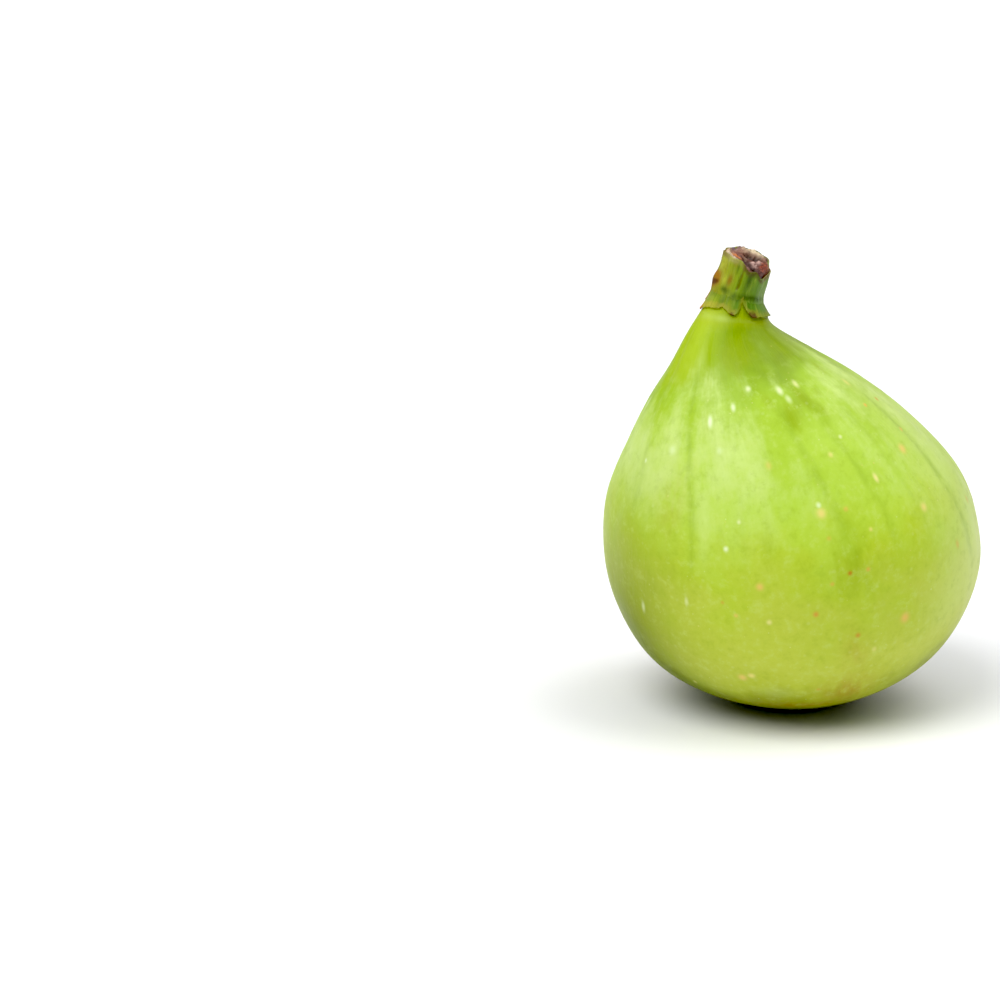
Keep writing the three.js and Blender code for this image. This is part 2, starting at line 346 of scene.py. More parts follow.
def relief(bearing, place, radius):
    """How far the skin stands out of its plain ring."""
    lobes = sum(share * np.cos(count * np.radians(bearing - 90 - turn)) for count, share, turn in LOBES)
    on_stalk = smoothstep(place, AT_COLLAR, AT_STALK + 0.5)
    ribs = np.cos(STALK_RIBS["count"] * np.radians(bearing))
    on_skin = smoothstep(place, 4.5, 8.5) * (1 - smoothstep(place, AT_NECK, AT_COLLAR + 0.5))
    fine_ribs = round_noise(bearing, place * 0.3, 8.5)
    dents = round_noise(bearing, place * 0.55 + 7, 1.7)
    fibres = round_noise(bearing, place * 1.1, 6.5)
    return (
        radius * lobes
        - GROOVE_DEPTH * groove_strength(bearing, place)
        + SCAR["height"] * scar_strength(bearing, place) * (1 + 0.35 * fibres)
        + STALK_RIBS["height"] * on_stalk * ribs
        + FINE_RIB * on_skin * fine_ribs
        + DENT * on_skin * dents
        + STALK_FIBRE * on_stalk * fibres
        - LINE_DEPTH * line_strength(bearing, place)
        - CRACK["depth"] * crack_strength(bearing, place)
    )


def lean(vectors, nod, roll):
    """Leans flat ring vectors towards the viewer by nod and to the right by roll, in degrees."""
    nod, roll = np.radians(nod), np.radians(roll)
    x, y, z = np.moveaxis(vectors, -1, 0)
    y, z = y * np.cos(nod) - z * np.sin(nod), y * np.sin(nod) + z * np.cos(nod)
    x, z = x * np.cos(roll) + z * np.sin(roll), z * np.cos(roll) - x * np.sin(roll)
    return np.stack([x, y, z], axis=-1)


def skin_points(bearing, place, lift=None):
    """Points of the skin at bearings and places along the loft, lifted outwards if asked."""
    bearing, place = np.broadcast_arrays(np.asarray(bearing, float), np.asarray(place, float))
    radius, x, y, z, nod, roll = (along(place, column) for column in range(6))
    reach = radius + relief(bearing, place, radius)
    angle = np.radians(bearing)
    flat = [reach * np.sin(angle), -reach * np.cos(angle) * DEPTH_SHARE, np.zeros_like(reach)]
    points = lean(np.stack(flat, axis=-1), nod, roll) + np.stack([x, y, z], axis=-1)
    if lift is not None:
        points = points + skin_frames(bearing, place)[0] * np.asarray(lift)[..., None]
    return points


def skin_frames(bearing, place):
    """The outward normal of the skin and its direction towards the stalk."""
    step = 0.04
    low = np.maximum(place, step)
    around = skin_points(bearing + 1.5, low) - skin_points(bearing - 1.5, low)
    upwards = skin_points(bearing, low + step) - skin_points(bearing, low - step)
    normal = np.cross(around, upwards)
    normal /= np.linalg.norm(normal, axis=-1, keepdims=True)
    upwards /= np.linalg.norm(upwards, axis=-1, keepdims=True)
    return normal, upwards


# How far each place along the loft is from the eye, along the skin.
PLACE_STEPS = np.linspace(0, AT_END, 801)
PROFILE = np.stack([along(PLACE_STEPS, column) for column in range(4)], axis=-1)
STEP_LENGTHS = np.linalg.norm(np.diff(PROFILE, axis=0), axis=1)
SKIN_LENGTHS = np.concatenate([[0], np.cumsum(STEP_LENGTHS)])


def skin_length(place):
    return np.interp(place, PLACE_STEPS, SKIN_LENGTHS)


# The plane of the cut through the stalk
CUT_CENTRE = np.array([CUT["x"], CUT["y"], CUT["z"]])
CUT_NORMAL = leaning_axis(CUT["nod"], CUT["roll"])
CUT_RIGHT = lean(np.array([1.0, 0.0, 0.0]), CUT["nod"], CUT["roll"])
CUT_AWAY = lean(np.array([0.0, 1.0, 0.0]), CUT["nod"], CUT["roll"])


def cut_warp(x, y):
    """How far the torn cut stands off its plane."""
    places = TORN + FINE_TORN
    torn = sum(height * bump(np.hypot(x - right, y - away), width) for right, away, width, height in places)
    return CUT["twist"] * x * y + torn


def place_of_cut(bearing):
    """Where along the loft the cut meets the stalk, at each bearing."""
    low = np.full(bearing.shape, float(AT_STALK))
    high = np.full(bearing.shape, float(AT_END))
    for _ in range(24):
        middle = (low + high) / 2
        reach = skin_points(bearing, middle) - CUT_CENTRE
        above = reach @ CUT_NORMAL > cut_warp(reach @ CUT_RIGHT, reach @ CUT_AWAY)
        high = np.where(above, middle, high)
        low = np.where(above, low, middle)
    return low


# Meshes


def make_piece(name, points, faces, materials, attributes=None, face_materials=None):
    """A smooth mesh object from points in millimetres. Attributes are values at its points."""
    mesh = bpy.data.meshes.new(name)
    mesh.from_pydata((np.asarray(points) * MM).tolist(), [], faces)
    for key, values in (attributes or {}).items():
        vector = values.ndim == 2
        layer = mesh.attributes.new(key, "FLOAT_VECTOR" if vector else "FLOAT", "POINT")
        layer.data.foreach_set("vector" if vector else "value", values.astype(np.float32).ravel())
    for material in materials:
        mesh.materials.append(material)
    if face_materials is not None:
        mesh.polygons.foreach_set("material_index", face_materials)
    mesh.shade_smooth()
    piece = bpy.data.objects.new(name, mesh)
    bpy.context.scene.collection.objects.link(piece)
    return piece


def ring_faces(rings, columns, bottom, top, first):
    """Faces of a closed loft: a bottom point, rings of points that start at first, a top point."""
    faces = []
    for i in range(columns):
        j = (i + 1) % columns
        faces.append((bottom, first + j, first + i))
        last = first + (rings - 1) * columns
        faces.append((top, last + i, last + j))
    for ring in range(rings - 1):
        low = first + ring * columns
        for i in range(columns):
            j = (i + 1) % columns
            faces.append((low + i, low + j, low + columns + j, low + columns + i))
    return faces


def shell_faces(rows, columns):
    """Faces of a closed shell of two sheets, the outer one first, each rows by columns of points."""
    inner = rows * columns
    faces = []
    for r in range(rows - 1):
        for c in range(columns - 1):
            a = r * columns + c
            faces.append((a, a + columns, a + columns + 1, a + 1))
            faces.append((inner + a, inner + a + 1, inner + a + columns + 1, inner + a + columns))
    for r in range(rows - 1):
        a, b = r * columns, (r + 1) * columns
        faces.append((a, inner + a, inner + b, b))
        a, b = a + columns - 1, b + columns - 1
        faces.append((a, b, inner + b, inner + a))
    for c in range(columns - 1):
        a = c
        faces.append((a, a + 1, inner + a + 1, inner + a))
        a = (rows - 1) * columns + c
        faces.append((a, inner + a, inner + a + 1, a + 1))
    return faces


def side_of(bearing):
    """0 on the left of the fig and 1 on the right."""
    return 0.5 + 0.5 * np.sin(np.radians(bearing))


def grain_of(bearing, place):
    """Coordinates that follow the skin: round the fig, and down it in centimetres."""
    angle = np.radians(bearing)
    return np.stack([np.cos(angle), np.sin(angle), skin_length(place) / 10], axis=-1)


PALE = PALE_AND_HIGHLIGHT_WASHES + drawn(*HIDDEN_PALE, SEED + 1)
DEEP = DEEP_WASHES + drawn(*HIDDEN_DEEP, SEED + 2)
RUSSET = RUSSET_WASHES + drawn(*HIDDEN_RUSSET, SEED + 3)


def skin_tones(bearing, place):
    """The values that the skin's finish reads, at bearings and places."""
    return {
        "place": place,
        "pale": washed(bearing, place, PALE),
        "deep": washed(bearing, place, DEEP),
        "russet": washed(bearing, place, RUSSET),
        "olive": washed(bearing, place, PAINTED_SHADE_WASHES),
        "line": line_strength(bearing, place),
        "side": side_of(bearing),
    }


# How much closer the body's rows lie at the eye and on the stalk, and how many places of the loft
# the rows of the stalk are spread over before they are fitted to the cut.
EXTRA_ROWS_AT_EYE = 1.2
EXTRA_ROWS_AT_STALK = 1.6
STALK_PLACES = 2.4
# The rim of the cut folds inwards over two rings, by how far in and up, in millimetres, and then
# falls to the bottom of a hollow that the cut end covers.
RIM_LIPS = [(0.12, 0.05), (0.32, -0.5)]
HOLLOW_DEPTH = 2.4
# Where the stalk's finish begins, under the bracts.
STALK_FINISH_FROM = AT_COLLAR + 0.6
# How far down the stalk, in places, its dried rim shows.
RIM_WIDTH = 0.22


def make_body(materials):
    """The skin from the eye to the cut, closed by a hollow that the cut end lies over."""
    fine = np.linspace(0, AT_END, 1601)
    near_eye = 1 - smoothstep(fine, 1.5, 3)
    near_stalk = smoothstep(fine, AT_NECK, AT_COLLAR)
    weight = 1 + EXTRA_ROWS_AT_EYE * near_eye + EXTRA_ROWS_AT_STALK * near_stalk
    density = np.concatenate([[0], np.cumsum(np.diff(skin_length(fine)) * weight[1:])])
    top_place = AT_STALK + STALK_PLACES
    level = np.linspace(0, np.interp(top_place, fine, density), ROWS + 1)[1:]
    row_places = np.interp(level, density, fine)
    bearing = np.arange(COLUMNS) * 360 / COLUMNS
    cut_place = place_of_cut(bearing)
    share = np.clip((row_places - AT_STALK) / (top_place - AT_STALK), 0, 1)[:, None]
    place = np.where(share > 0, AT_STALK + share * (cut_place[None] - AT_STALK), row_places[:, None])
    bearing = np.broadcast_to(bearing, place.shape)
    points = skin_points(bearing, place)
    points[..., 2] = np.maximum(points[..., 2], 0)
    rim = points[-1]
    inwards = CUT_CENTRE - rim
    inwards /= np.linalg.norm(inwards, axis=-1, keepdims=True)
    lips = [rim + inwards * inset + CUT_NORMAL * rise for inset, rise in RIM_LIPS]
    eye_point = skin_points(0.0, 0.0)
    bottom = CUT_CENTRE - CUT_NORMAL * HOLLOW_DEPTH
    vertices = np.concatenate([eye_point[None], points.reshape(-1, 3), *lips, bottom[None]])
    rings = ROWS + len(lips)
    faces = ring_faces(rings, COLUMNS, 0, len(vertices) - 1, 1)

    def spread(values, eye_value, top_value):
        """Values of the grid's points, repeated on the lips and given for the two end points."""
        tail = [values[-1]] * len(lips)
        return np.concatenate([[eye_value], values.ravel(), *tail, [top_value]])

    grain = grain_of(bearing, place)
    grain_ends = [(grain[0, :, k].mean(), grain[-1, :, k].mean()) for k in range(3)]
    tones = {
        **skin_tones(bearing, place),
        "bright": washed(bearing, place, STALK_BRIGHT),
        "brown": washed(bearing, place, STALK_BROWN),
        "dark_green": washed(bearing, place, STALK_DARK),
        "crack": crack_strength(bearing, place),
        "scar": scar_strength(bearing, place),
    }
    attributes = {key: spread(values, 0, 0) for key, values in tones.items()}
    attributes["grain"] = np.stack([spread(grain[..., k], *ends) for k, ends in enumerate(grain_ends)], -1)
    attributes["rim"] = spread(bump(cut_place[None] - place, RIM_WIDTH), 0, 1)
    ring_of_face = np.concatenate(
        [np.tile([0, rings - 1], COLUMNS), np.repeat(np.arange(rings - 1), COLUMNS)]
    )
    first_stalk_ring = int(np.searchsorted(row_places, STALK_FINISH_FROM))
    face_materials = (ring_of_face >= first_stalk_ring).astype(np.int32)
    return make_piece("fig_body", vertices, faces, materials, attributes, face_materials)


# The cut end's width as a share of the stalk's, and how deep its sides and its middle go under
# the cut, in millimetres.
CUT_END_WIDTH = 0.955
SKIRT_DEPTH = 0.9
CUT_END_DEPTH = 2.0


def make_cut_end(material):
    """The dry end of the stalk: a closed disc with a torn rim, a pit and a shrunken pith."""
    bearing = np.arange(CUT_COLUMNS) * 360 / CUT_COLUMNS
    rim = skin_points(bearing, place_of_cut(bearing)) - CUT_CENTRE
    rim_x, rim_y = rim @ CUT_RIGHT, rim @ CUT_AWAY
    share = np.linspace(0, 1, CUT_ROWS + 1)[1:, None]
    x, y = share * rim_x * CUT_END_WIDTH, share * rim_y * CUT_END_WIDTH
    height, tones = cut_surface(x, y, share * np.ones_like(x))
    grid = CUT_CENTRE + x[..., None] * CUT_RIGHT + y[..., None] * CUT_AWAY + height[..., None] * CUT_NORMAL
    middle_height, middle_tones = cut_surface(np.zeros(1), np.zeros(1), np.zeros(1))
    middle = CUT_CENTRE + middle_height * CUT_NORMAL
    skirt = grid[-1] - CUT_NORMAL * SKIRT_DEPTH
    bottom = CUT_CENTRE - CUT_NORMAL * CUT_END_DEPTH
    vertices = np.concatenate([bottom[None], skirt, grid[::-1].reshape(-1, 3), middle[None]])
    faces = ring_faces(CUT_ROWS + 1, CUT_COLUMNS, 0, len(vertices) - 1, 1)
    attributes = {}
    for key, values in tones.items():
        parts = [[0], values[-1], values[::-1].ravel(), middle_tones[key]]
        attributes[key] = np.concatenate(parts)
    return make_piece("cut_end", vertices, faces, [material], attributes)


# What shows on the cut: millimetres to the right and away from its middle, half width, half
# depth, and strength.
CUT_MARKS = {
    "maroon": [(0.7, -1.5, 1.3, 1.7, 1.3), (-0.4, -0.6, 0.8, 1.1, 1.2), (-1.2, -2.4, 0.9, 0.7, 0.9),
               (2.2, -1.6, 0.9, 1.5, 1.0), (1.9, 0.9, 0.9, 0.8, 0.9)],
    "pit": [(0.3, 1.75, 0.85, 0.55, 1.1), (1.4, 1.5, 0.6, 0.45, 1.0), (-0.2, 0.5, 0.4, 0.5, 0.7)],
    "lump": [(2.45, -0.5, 0.65, 1.1, 1.2)],
    "bead": [(0.85, -0.35, 0.34, 0.4, 1.1), (1.25, -0.95, 0.28, 0.3, 0.8), (1.7, 0.25, 0.34, 0.4, 1.0)],
    "orange": [(-2.0, -0.1, 0.6, 0.4, 1.2), (-1.2, 0.0, 0.5, 0.28, 0.9)],
    "beige": [(-2.9, -0.5, 0.5, 1.1, 1.2), (0.5, 3.1, 1.4, 0.55, 1.3), (2.1, 2.45, 0.8, 0.5, 1.2),
              (3.2, 0.6, 0.2, 0.9, 0.6), (-2.0, -2.0, 0.7, 0.5, 0.7)],
    "blue": [(-2.4, 2.4, 0.8, 0.9, 1.1), (-1.2, 3.2, 0.8, 0.35, 0.7)],
    "dark": [(2.2, -2.7, 0.9, 0.9, 1.4), (2.95, 1.5, 0.35, 0.6, 1.0), (1.2, -1.7, 0.35, 0.4, 0.9),
             (3.3, -1.3, 0.3, 0.8, 0.8)],
}


def cut_surface(x, y, share):
    """Height of the cut end over its plane, and how strongly each of its tones shows."""
    angle = np.arctan2(y, x)
    rough = noise_at(x * 1.9, y * 1.9, 3.0)
    fine = noise_at(x * 5.5, y * 5.5, 9.0)
    rays = noise_at(np.cos(angle) * 7, np.sin(angle) * 7, share * 0.8)
    tones = {}
    for key, marks in CUT_MARKS.items():
        shown = sum(k * bump(np.hypot((x - right) / w, (y - away) / d), 1) for right, away, w, d, k in marks)
        tones[key] = np.clip(shown * (1 + 0.5 * fine + 0.3 * rough), 0, 1)
    rim = smoothstep(share, 0.74, 0.92)
    sunk = 1 - smoothstep(share, 0.25, 0.95)
    height = (
        cut_warp(x, y)
        + 0.06
        - 0.3 * sunk
        + 0.2 * rough
        + 0.12 * fine
        + 0.1 * rays * smoothstep(share, 0.15, 0.4)
        + 0.2 * rim * (0.4 + rough)
        - 0.7 * tones["pit"]
        + 0.3 * tones["lump"]
        + 0.4 * tones["bead"]
        - 0.12 * tones["maroon"]
        - 0.3 * tones["dark"]
        - 0.3 * smoothstep(share, 0.93, 1.0)
    )
    return height, tones


# Each bract runs from one bearing to another. Its free edge is given by bearings, places along the
# loft and how dry it is there, and it lifts off the skin most towards its tip.
BRACTS = {
    "bract_left": {
        "root": AT_STALK + 0.12,
        "edge": [(-106, 13.75, 0.8), (-98, 12.92, 1.0), (-88, 12.95, 0.85), (-78, 13.05, 0.5),
                 (-62, 13.14, 0.4), (-50, 13.17, 0.35), (-38, 13.2, 0.3), (-31, 13.3, 0.55),
                 (-25, 13.22, 0.45), (-18, 13.12, 0.45), (-12, 13.02, 0.75), (-7, 13.0, 0.7),
                 (-3, 13.06, 0.3), (2, 13.25, 0.3), (6, 13.5, 0.6), (9, 13.85, 0.6)],
        "lift": 0.32,
    },
    "bract_right": {
        "root": AT_STALK + 0.0,
        "edge": [(5, 13.8, 0.5), (9, 13.58, 0.35), (13, 13.36, 0.35), (17, 13.2, 0.45), (22, 13.06, 0.75),
                 (27, 12.95, 0.9), (32, 12.93, 0.9), (38, 12.97, 0.5), (48, 12.95, 0.4), (60, 12.96, 0.4),
                 (76, 12.95, 0.35), (92, 12.88, 0.5), (106, 13.1, 0.6), (116, 13.7, 0.6)],
        "lift": 0.42,
    },
    "bract_back": {
        "root": AT_STALK + 0.08,
        "edge": [(110, 13.75, 0.5), (122, 13.3, 0.4), (140, 13.05, 0.8), (165, 12.9, 1.0), (190, 12.8, 0.7),
                 (214, 12.92, 0.4), (236, 13.1, 0.6), (252, 13.35, 0.9), (262, 13.8, 0.6)],
        "lift": 0.45,
    },
}
BRACT_THICKNESS = 0.34


def make_bract(name, root, edge, lift, material):
    """A bract that lies on the neck, with a dry free edge that stands off a little."""
    rows, columns = 22, 96
    bearings, places, dryness = np.array(edge).T
    bearing = np.linspace(bearings[0], bearings[-1], columns)
    ragged = 0.035 * noise_at(bearing / 5, 0.0, root) + 0.02 * noise_at(bearing / 1.7, 4.0, root)
    edge_place = np.interp(bearing, bearings, places) + ragged
    dry = np.interp(bearing, bearings, dryness)
    share = np.linspace(0, 1, rows)[:, None]
    place = root + share * (edge_place - root)
    width = bearings[-1] - bearings[0]
    side = np.abs(2 * (bearing - bearings[0]) / width - 1)
    grid_bearing = np.broadcast_to(bearing, place.shape)
    body = 1 - 0.75 * smoothstep(side, 0.8, 1.0)
    curl = 0.16 * noise_at(bearing / 13, 2.0, root) * smoothstep(share, 0.6, 1)
    veins = 0.035 * noise_at(grid_bearing / 2.6, share * 0.8, root)
    rise = -0.12 + (lift + 0.12) * (0.6 * smoothstep(share, 0, 0.7) + 0.4 * share**3)
    outer_lift = rise * body + curl * body + veins
    thin = BRACT_THICKNESS * (1 - 0.55 * smoothstep(share, 0.75, 1)) * body
    sunk = np.where(share < 0.5, 0.45, 0) + 0.3 * (1 - smoothstep(share, 0.4, 0.8))
    inner_lift = outer_lift - thin - sunk
    outer = skin_points(grid_bearing, place, outer_lift)
    inner = skin_points(grid_bearing, place, np.minimum(inner_lift, outer_lift - 0.08))
    points = np.concatenate([outer.reshape(-1, 3), inner.reshape(-1, 3)])
    to_edge = np.minimum((1 - share) * 2.4, (1 - side) * 4)
    attributes = {
        "grain": np.tile(grain_of(grid_bearing, place).reshape(-1, 3), (2, 1)),
        "to_edge": np.tile(to_edge.ravel(), 2),
        "dry": np.tile(np.broadcast_to(dry, place.shape).ravel(), 2),
        "side": np.tile(side_of(grid_bearing).ravel(), 2),
        "dark_green": np.tile(washed(grid_bearing, place, STALK_DARK).ravel(), 2),
    }
    return make_piece(name, points, shell_faces(rows, columns), [material], attributes)


# Node trees


def add_node(tree, kind, inputs=None, **settings):
    """Adds a node. Each of its inputs is a plain value or another node's output."""
    node = tree.nodes.new(kind)
    for name, value in settings.items():
        setattr(node, name, value)
    for key, value in (inputs or {}).items():
        if isinstance(value, bpy.types.NodeSocket):
            tree.links.new(value, node.inputs[key])
        else:
            node.inputs[key].default_value = value
    return node


def new_material(name):
    material = bpy.data.materials.new(name)
    material.use_nodes = True
    return material, material.node_tree, material.node_tree.nodes["Principled BSDF"]


def let_light_in(shader, weight, blue, depth):
    """How much light scatters under the surface, blue's share of its reach, and the reach in metres."""
    shader.inputs["Subsurface Weight"].default_value = weight
    shader.inputs["Subsurface Radius"].default_value = (1.0, 1.0, blue)
    shader.inputs["Subsurface Scale"].default_value = depth


def attribute(tree, name, output="Fac"):
    return add_node(tree, "ShaderNodeAttribute", attribute_name=name).outputs[output]


def stretched(tree, vector, scale):
    return add_node(tree, "ShaderNodeMapping", {"Vector": vector, "Scale": scale}).outputs["Vector"]


def noise_value(tree, vector, scale, detail=3.0, roughness=0.5):
    inputs = {"Vector": vector, "Scale": scale, "Detail": detail, "Roughness": roughness}
    return add_node(tree, "ShaderNodeTexNoise", inputs).outputs["Fac"]


def remap(tree, value, low, high, to_low=0.0, to_high=1.0):
    inputs = {"Value": value, "From Min": low, "From Max": high, "To Min": to_low, "To Max": to_high}
    return add_node(tree, "ShaderNodeMapRange", inputs, interpolation_type="SMOOTHSTEP").outputs["Result"]


def maths(tree, operation, a, b):
    return add_node(tree, "ShaderNodeMath", {0: a, 1: b}, operation=operation).outputs["Value"]


def times(tree, a, b):
    return maths(tree, "MULTIPLY", a, b)


def plus(tree, a, b):
    return maths(tree, "ADD", a, b)


def swaying(tree, value, depth):
    """A noise value, from 0 to 1, made to sway about 0 by depth in all."""
    return maths(tree, "SUBTRACT", times(tree, value, depth), depth / 2)


# The sockets of a mix node that hold colours, among those for its other kinds of data.
MIX_FACTOR, MIX_A, MIX_B, MIX_RESULT = 0, 6, 7, 2


def mixed(tree, factor, a, b):
    """Colour a, with as much of colour b laid over it as the factor says."""
    inputs = {MIX_FACTOR: factor, MIX_A: a, MIX_B: b}
    return add_node(tree, "ShaderNodeMix", inputs, data_type="RGBA").outputs[MIX_RESULT]


def ramp(tree, value, stops):
    node = add_node(tree, "ShaderNodeValToRGB", {"Fac": value})
    elements = node.color_ramp.elements
    while len(elements) < len(stops):
        elements.new(0.5)
    for element, (position, colour) in zip(elements, stops):
        element.position = position
        element.color = colour
    return node.outputs["Color"]


def bumped(tree, height, distance, strength=1.0, normal=None):
    inputs = {"Height": height, "Distance": distance, "Strength": strength}
    if normal is not None:
        inputs["Normal"] = normal
    return add_node(tree, "ShaderNodeBump", inputs).outputs["Normal"]


# What repeats, placed by geometry nodes


def geometry_tree(name, sizes):
    """A geometry node tree with a mesh in, a mesh out and named inputs for its sizes."""
    tree = bpy.data.node_groups.new(name, "GeometryNodeTree")
    tree.interface.new_socket("Geometry", in_out="INPUT", socket_type="NodeSocketGeometry")
    tree.interface.new_socket("Geometry", in_out="OUTPUT", socket_type="NodeSocketGeometry")
    for label, (kind, _) in sizes.items():
        tree.interface.new_socket(label, in_out="INPUT", socket_type="NodeSocket" + kind)
    source = tree.nodes.new("NodeGroupInput").outputs
    return tree, source


def finish_tree(tree, instances, material):
    whole = add_node(tree, "GeometryNodeRealizeInstances", {"Geometry": instances}).outputs["Geometry"]
    coated = add_node(tree, "GeometryNodeSetMaterial", {"Geometry": whole, "Material": material})
    add_node(tree, "NodeGroupOutput", {"Geometry": coated.outputs["Geometry"]})


def named(tree, name, kind="FLOAT_VECTOR"):
    node = add_node(tree, "GeometryNodeInputNamedAttribute", {"Name": name}, data_type=kind)
    return next(output for output in node.outputs if output.enabled)


def stored(tree, geometry, name, value, kind="FLOAT"):
    inputs = {"Geometry": geometry, "Name": name, "Value": value}
    node = add_node(tree, "GeometryNodeStoreNamedAttribute", inputs, data_type=kind, domain="POINT")
    return node.outputs["Geometry"]


def compared(tree, operation, a, b):
    return add_node(tree, "FunctionNodeCompare", {0: a, 1: b}, operation=operation).outputs["Result"]


def scaled(tree, vector, scale):
    node = add_node(tree, "ShaderNodeVectorMath", {0: vector, "Scale": scale}, operation="SCALE")
    return node.outputs["Vector"]


def random_value(tree, low, high, seed):
    node = add_node(tree, "FunctionNodeRandomValue", data_type="FLOAT")
    for key, value in (("Min", low), ("Max", high), ("Seed", seed)):
        socket = next(s for s in node.inputs if s.enabled and s.name == key)
        if isinstance(value, bpy.types.NodeSocket):
            tree.links.new(value, socket)
        else:
            socket.default_value = value
    return next(output for output in node.outputs if output.enabled)


def object_mesh(tree, source_object):
    return add_node(tree, "GeometryNodeObjectInfo", {"Object": source_object}).outputs["Geometry"]


def grow(name, base, tree, sizes):
    """The tree's result on a base object, as a plain mesh object of its own."""
    modifier = base.modifiers.new(name, "NODES")
    modifier.node_group = tree
    for item in tree.interface.items_tree:
        if item.in_out == "INPUT" and item.name in sizes:
            modifier[item.identifier] = sizes[item.name][1]
    evaluated = base.evaluated_get(bpy.context.evaluated_depsgraph_get())
    mesh = bpy.data.meshes.new_from_object(evaluated)
    base.modifiers.remove(modifier)
    mesh.name = name
    mesh.shade_smooth()
    piece = bpy.data.objects.new(name, mesh)
    bpy.context.scene.collection.objects.link(piece)
    return piece


def make_disc(name, sides, profile):
    """A closed flat disc of radius 1 metre, to be scaled where it is put and laid on the skin. Its
    profile, from the middle of its underside, is radius, height over the skin, and strength."""
    middle, *rings, top = profile
    points, heights, strengths = [(0, 0, 0)], [middle[1]], [middle[2]]
    for radius, height, strength in rings:
        for i in range(sides):
            angle = 2 * math.pi * i / sides
            points.append((radius * math.cos(angle), radius * math.sin(angle), 0))
        heights += [height] * sides
        strengths += [strength] * sides
    points.append((0, 0, 0))
    heights.append(top[1])
    strengths.append(top[2])
    faces = ring_faces(len(rings), sides, 0, len(points) - 1, 1)
    values = {"fleck": np.array(strengths), "height": np.array(heights) * MM}
    return make_piece(name, np.array(points) / MM, faces, [], values)


# Flecks where the photograph shows them: bearing, place, half width and half length in
# millimetres, tint from cream 0 to russet 1, and strength.
SEEN_FLECKS = [
    (-28, 10.05, 0.42, 1.05, 0.0, 1.0),
    (-14, 10.3, 0.38, 0.75, 0.0, 0.75),
    (-2, 10.65, 0.42, 0.5, 0.05, 0.7),
    (17, 10.5, 0.5, 0.85, 0.05, 0.8),
    (19, 10.3, 0.45, 0.8, 0.05, 0.5),
    (30, 10.55, 0.4, 0.8, 0.2, 0.6),
    (-48, 9.5, 0.7, 0.8, 0.0, 0.4),
    (-63, 9.2, 0.3, 0.4, 0.0, 0.6),
    (-24, 8.2, 0.42, 0.45, 0.0, 0.8),
    (-19, 8.55, 0.32, 0.35, 0.1, 0.6),
    (-24, 9.55, 0.5, 0.6, 0.0, 0.35),
    (-4, 9.3, 0.5, 0.7, 0.55, 0.4),
    (10, 8.6, 0.78, 0.9, 0.4, 0.85),
    (10, 8.7, 0.4, 0.5, 0.0, 0.7),
    (36, 8.85, 0.42, 0.85, 0.3, 0.9),
    (23, 9.3, 0.45, 0.5, 0.35, 0.6),
    (32, 9.5, 0.3, 0.35, 0.1, 0.6),
    (58, 9.0, 0.8, 0.9, 0.5, 0.85),
    (67, 9.2, 0.4, 0.45, 0.6, 0.7),
    (60, 9.75, 0.35, 0.4, 0.7, 0.8),
    (73, 9.7, 0.35, 0.45, 0.8, 0.8),
    (65, 10.2, 0.5, 0.9, 0.35, 0.5),
    (49, 8.3, 0.75, 0.8, 0.4, 0.75),
    (19, 8.6, 0.45, 0.45, 0.65, 0.55),
    (25, 8.3, 0.35, 0.4, 0.4, 0.6),
    (10, 8.3, 0.4, 0.4, 0.7, 0.4),
    (14, 7.85, 0.42, 0.42, 1.0, 0.9),
    (20, 7.85, 0.38, 0.38, 0.75, 0.75),
    (8, 7.75, 0.38, 0.38, 0.75, 0.6),
    (-14, 7.75, 0.65, 0.7, 0.6, 0.8),
    (-26, 7.5, 0.35, 0.35, 0.85, 0.5),
    (-22, 7.35, 0.4, 0.4, 0.6, 0.6),
    (-12, 7.3, 0.45, 0.5, 0.3, 0.7),
    (2, 7.4, 0.5, 0.55, 0.85, 0.9),
    (30, 7.05, 0.88, 1.0, 0.6, 0.85),
    (14, 7.0, 0.45, 0.5, 0.9, 0.8),
    (19, 6.6, 0.45, 0.6, 0.3, 0.4),
    (-38, 7.4, 0.35, 0.9, 0.1, 0.45),
    (-55, 7.0, 0.4, 1.1, 0.05, 0.9),
    (-41, 5.3, 0.4, 0.45, 0.3, 1.0),
    (-22, 5.9, 0.8, 0.85, 0.5, 0.85),
    (-19, 6.0, 0.65, 0.65, 0.35, 0.8),
    (58, 7.6, 0.5, 0.8, 0.8, 0.45),
    (76, 7.9, 0.5, 0.8, 0.8, 0.4),
    (2, 5.6, 0.4, 0.4, 0.8, 0.5),
]
# The same for the sides that it doesn't show: how many, and the ranges they are drawn from.
OTHER_FLECKS = 60
OTHER_BEARINGS = (88, 292)
OTHER_PLACES = (3.5, 11)
FLECK_PROFILE = [
    (0, -0.08, 0),
    (0.9, -0.08, 0),
    (1.0, -0.03, 0),
    (0.97, -0.008, 0),
    (0.93, -0.001, 0),
    (0.85, 0.004, 0.03),
    (0.7, 0.01, 0.13),
    (0.52, 0.018, 0.38),
    (0.34, 0.026, 0.72),
    (0.16, 0.03, 0.96),
    (0, 0.032, 1.0),
]
PORE_PROFILE = [
    (0, -0.03, 0),
    (1.0, -0.02, 0),
    (0.9, -0.001, 0),
    (0.6, 0.006, 0.6),
    (0.25, 0.01, 1.0),
    (0, 0.011, 1.0),
]
HALO = 1.5


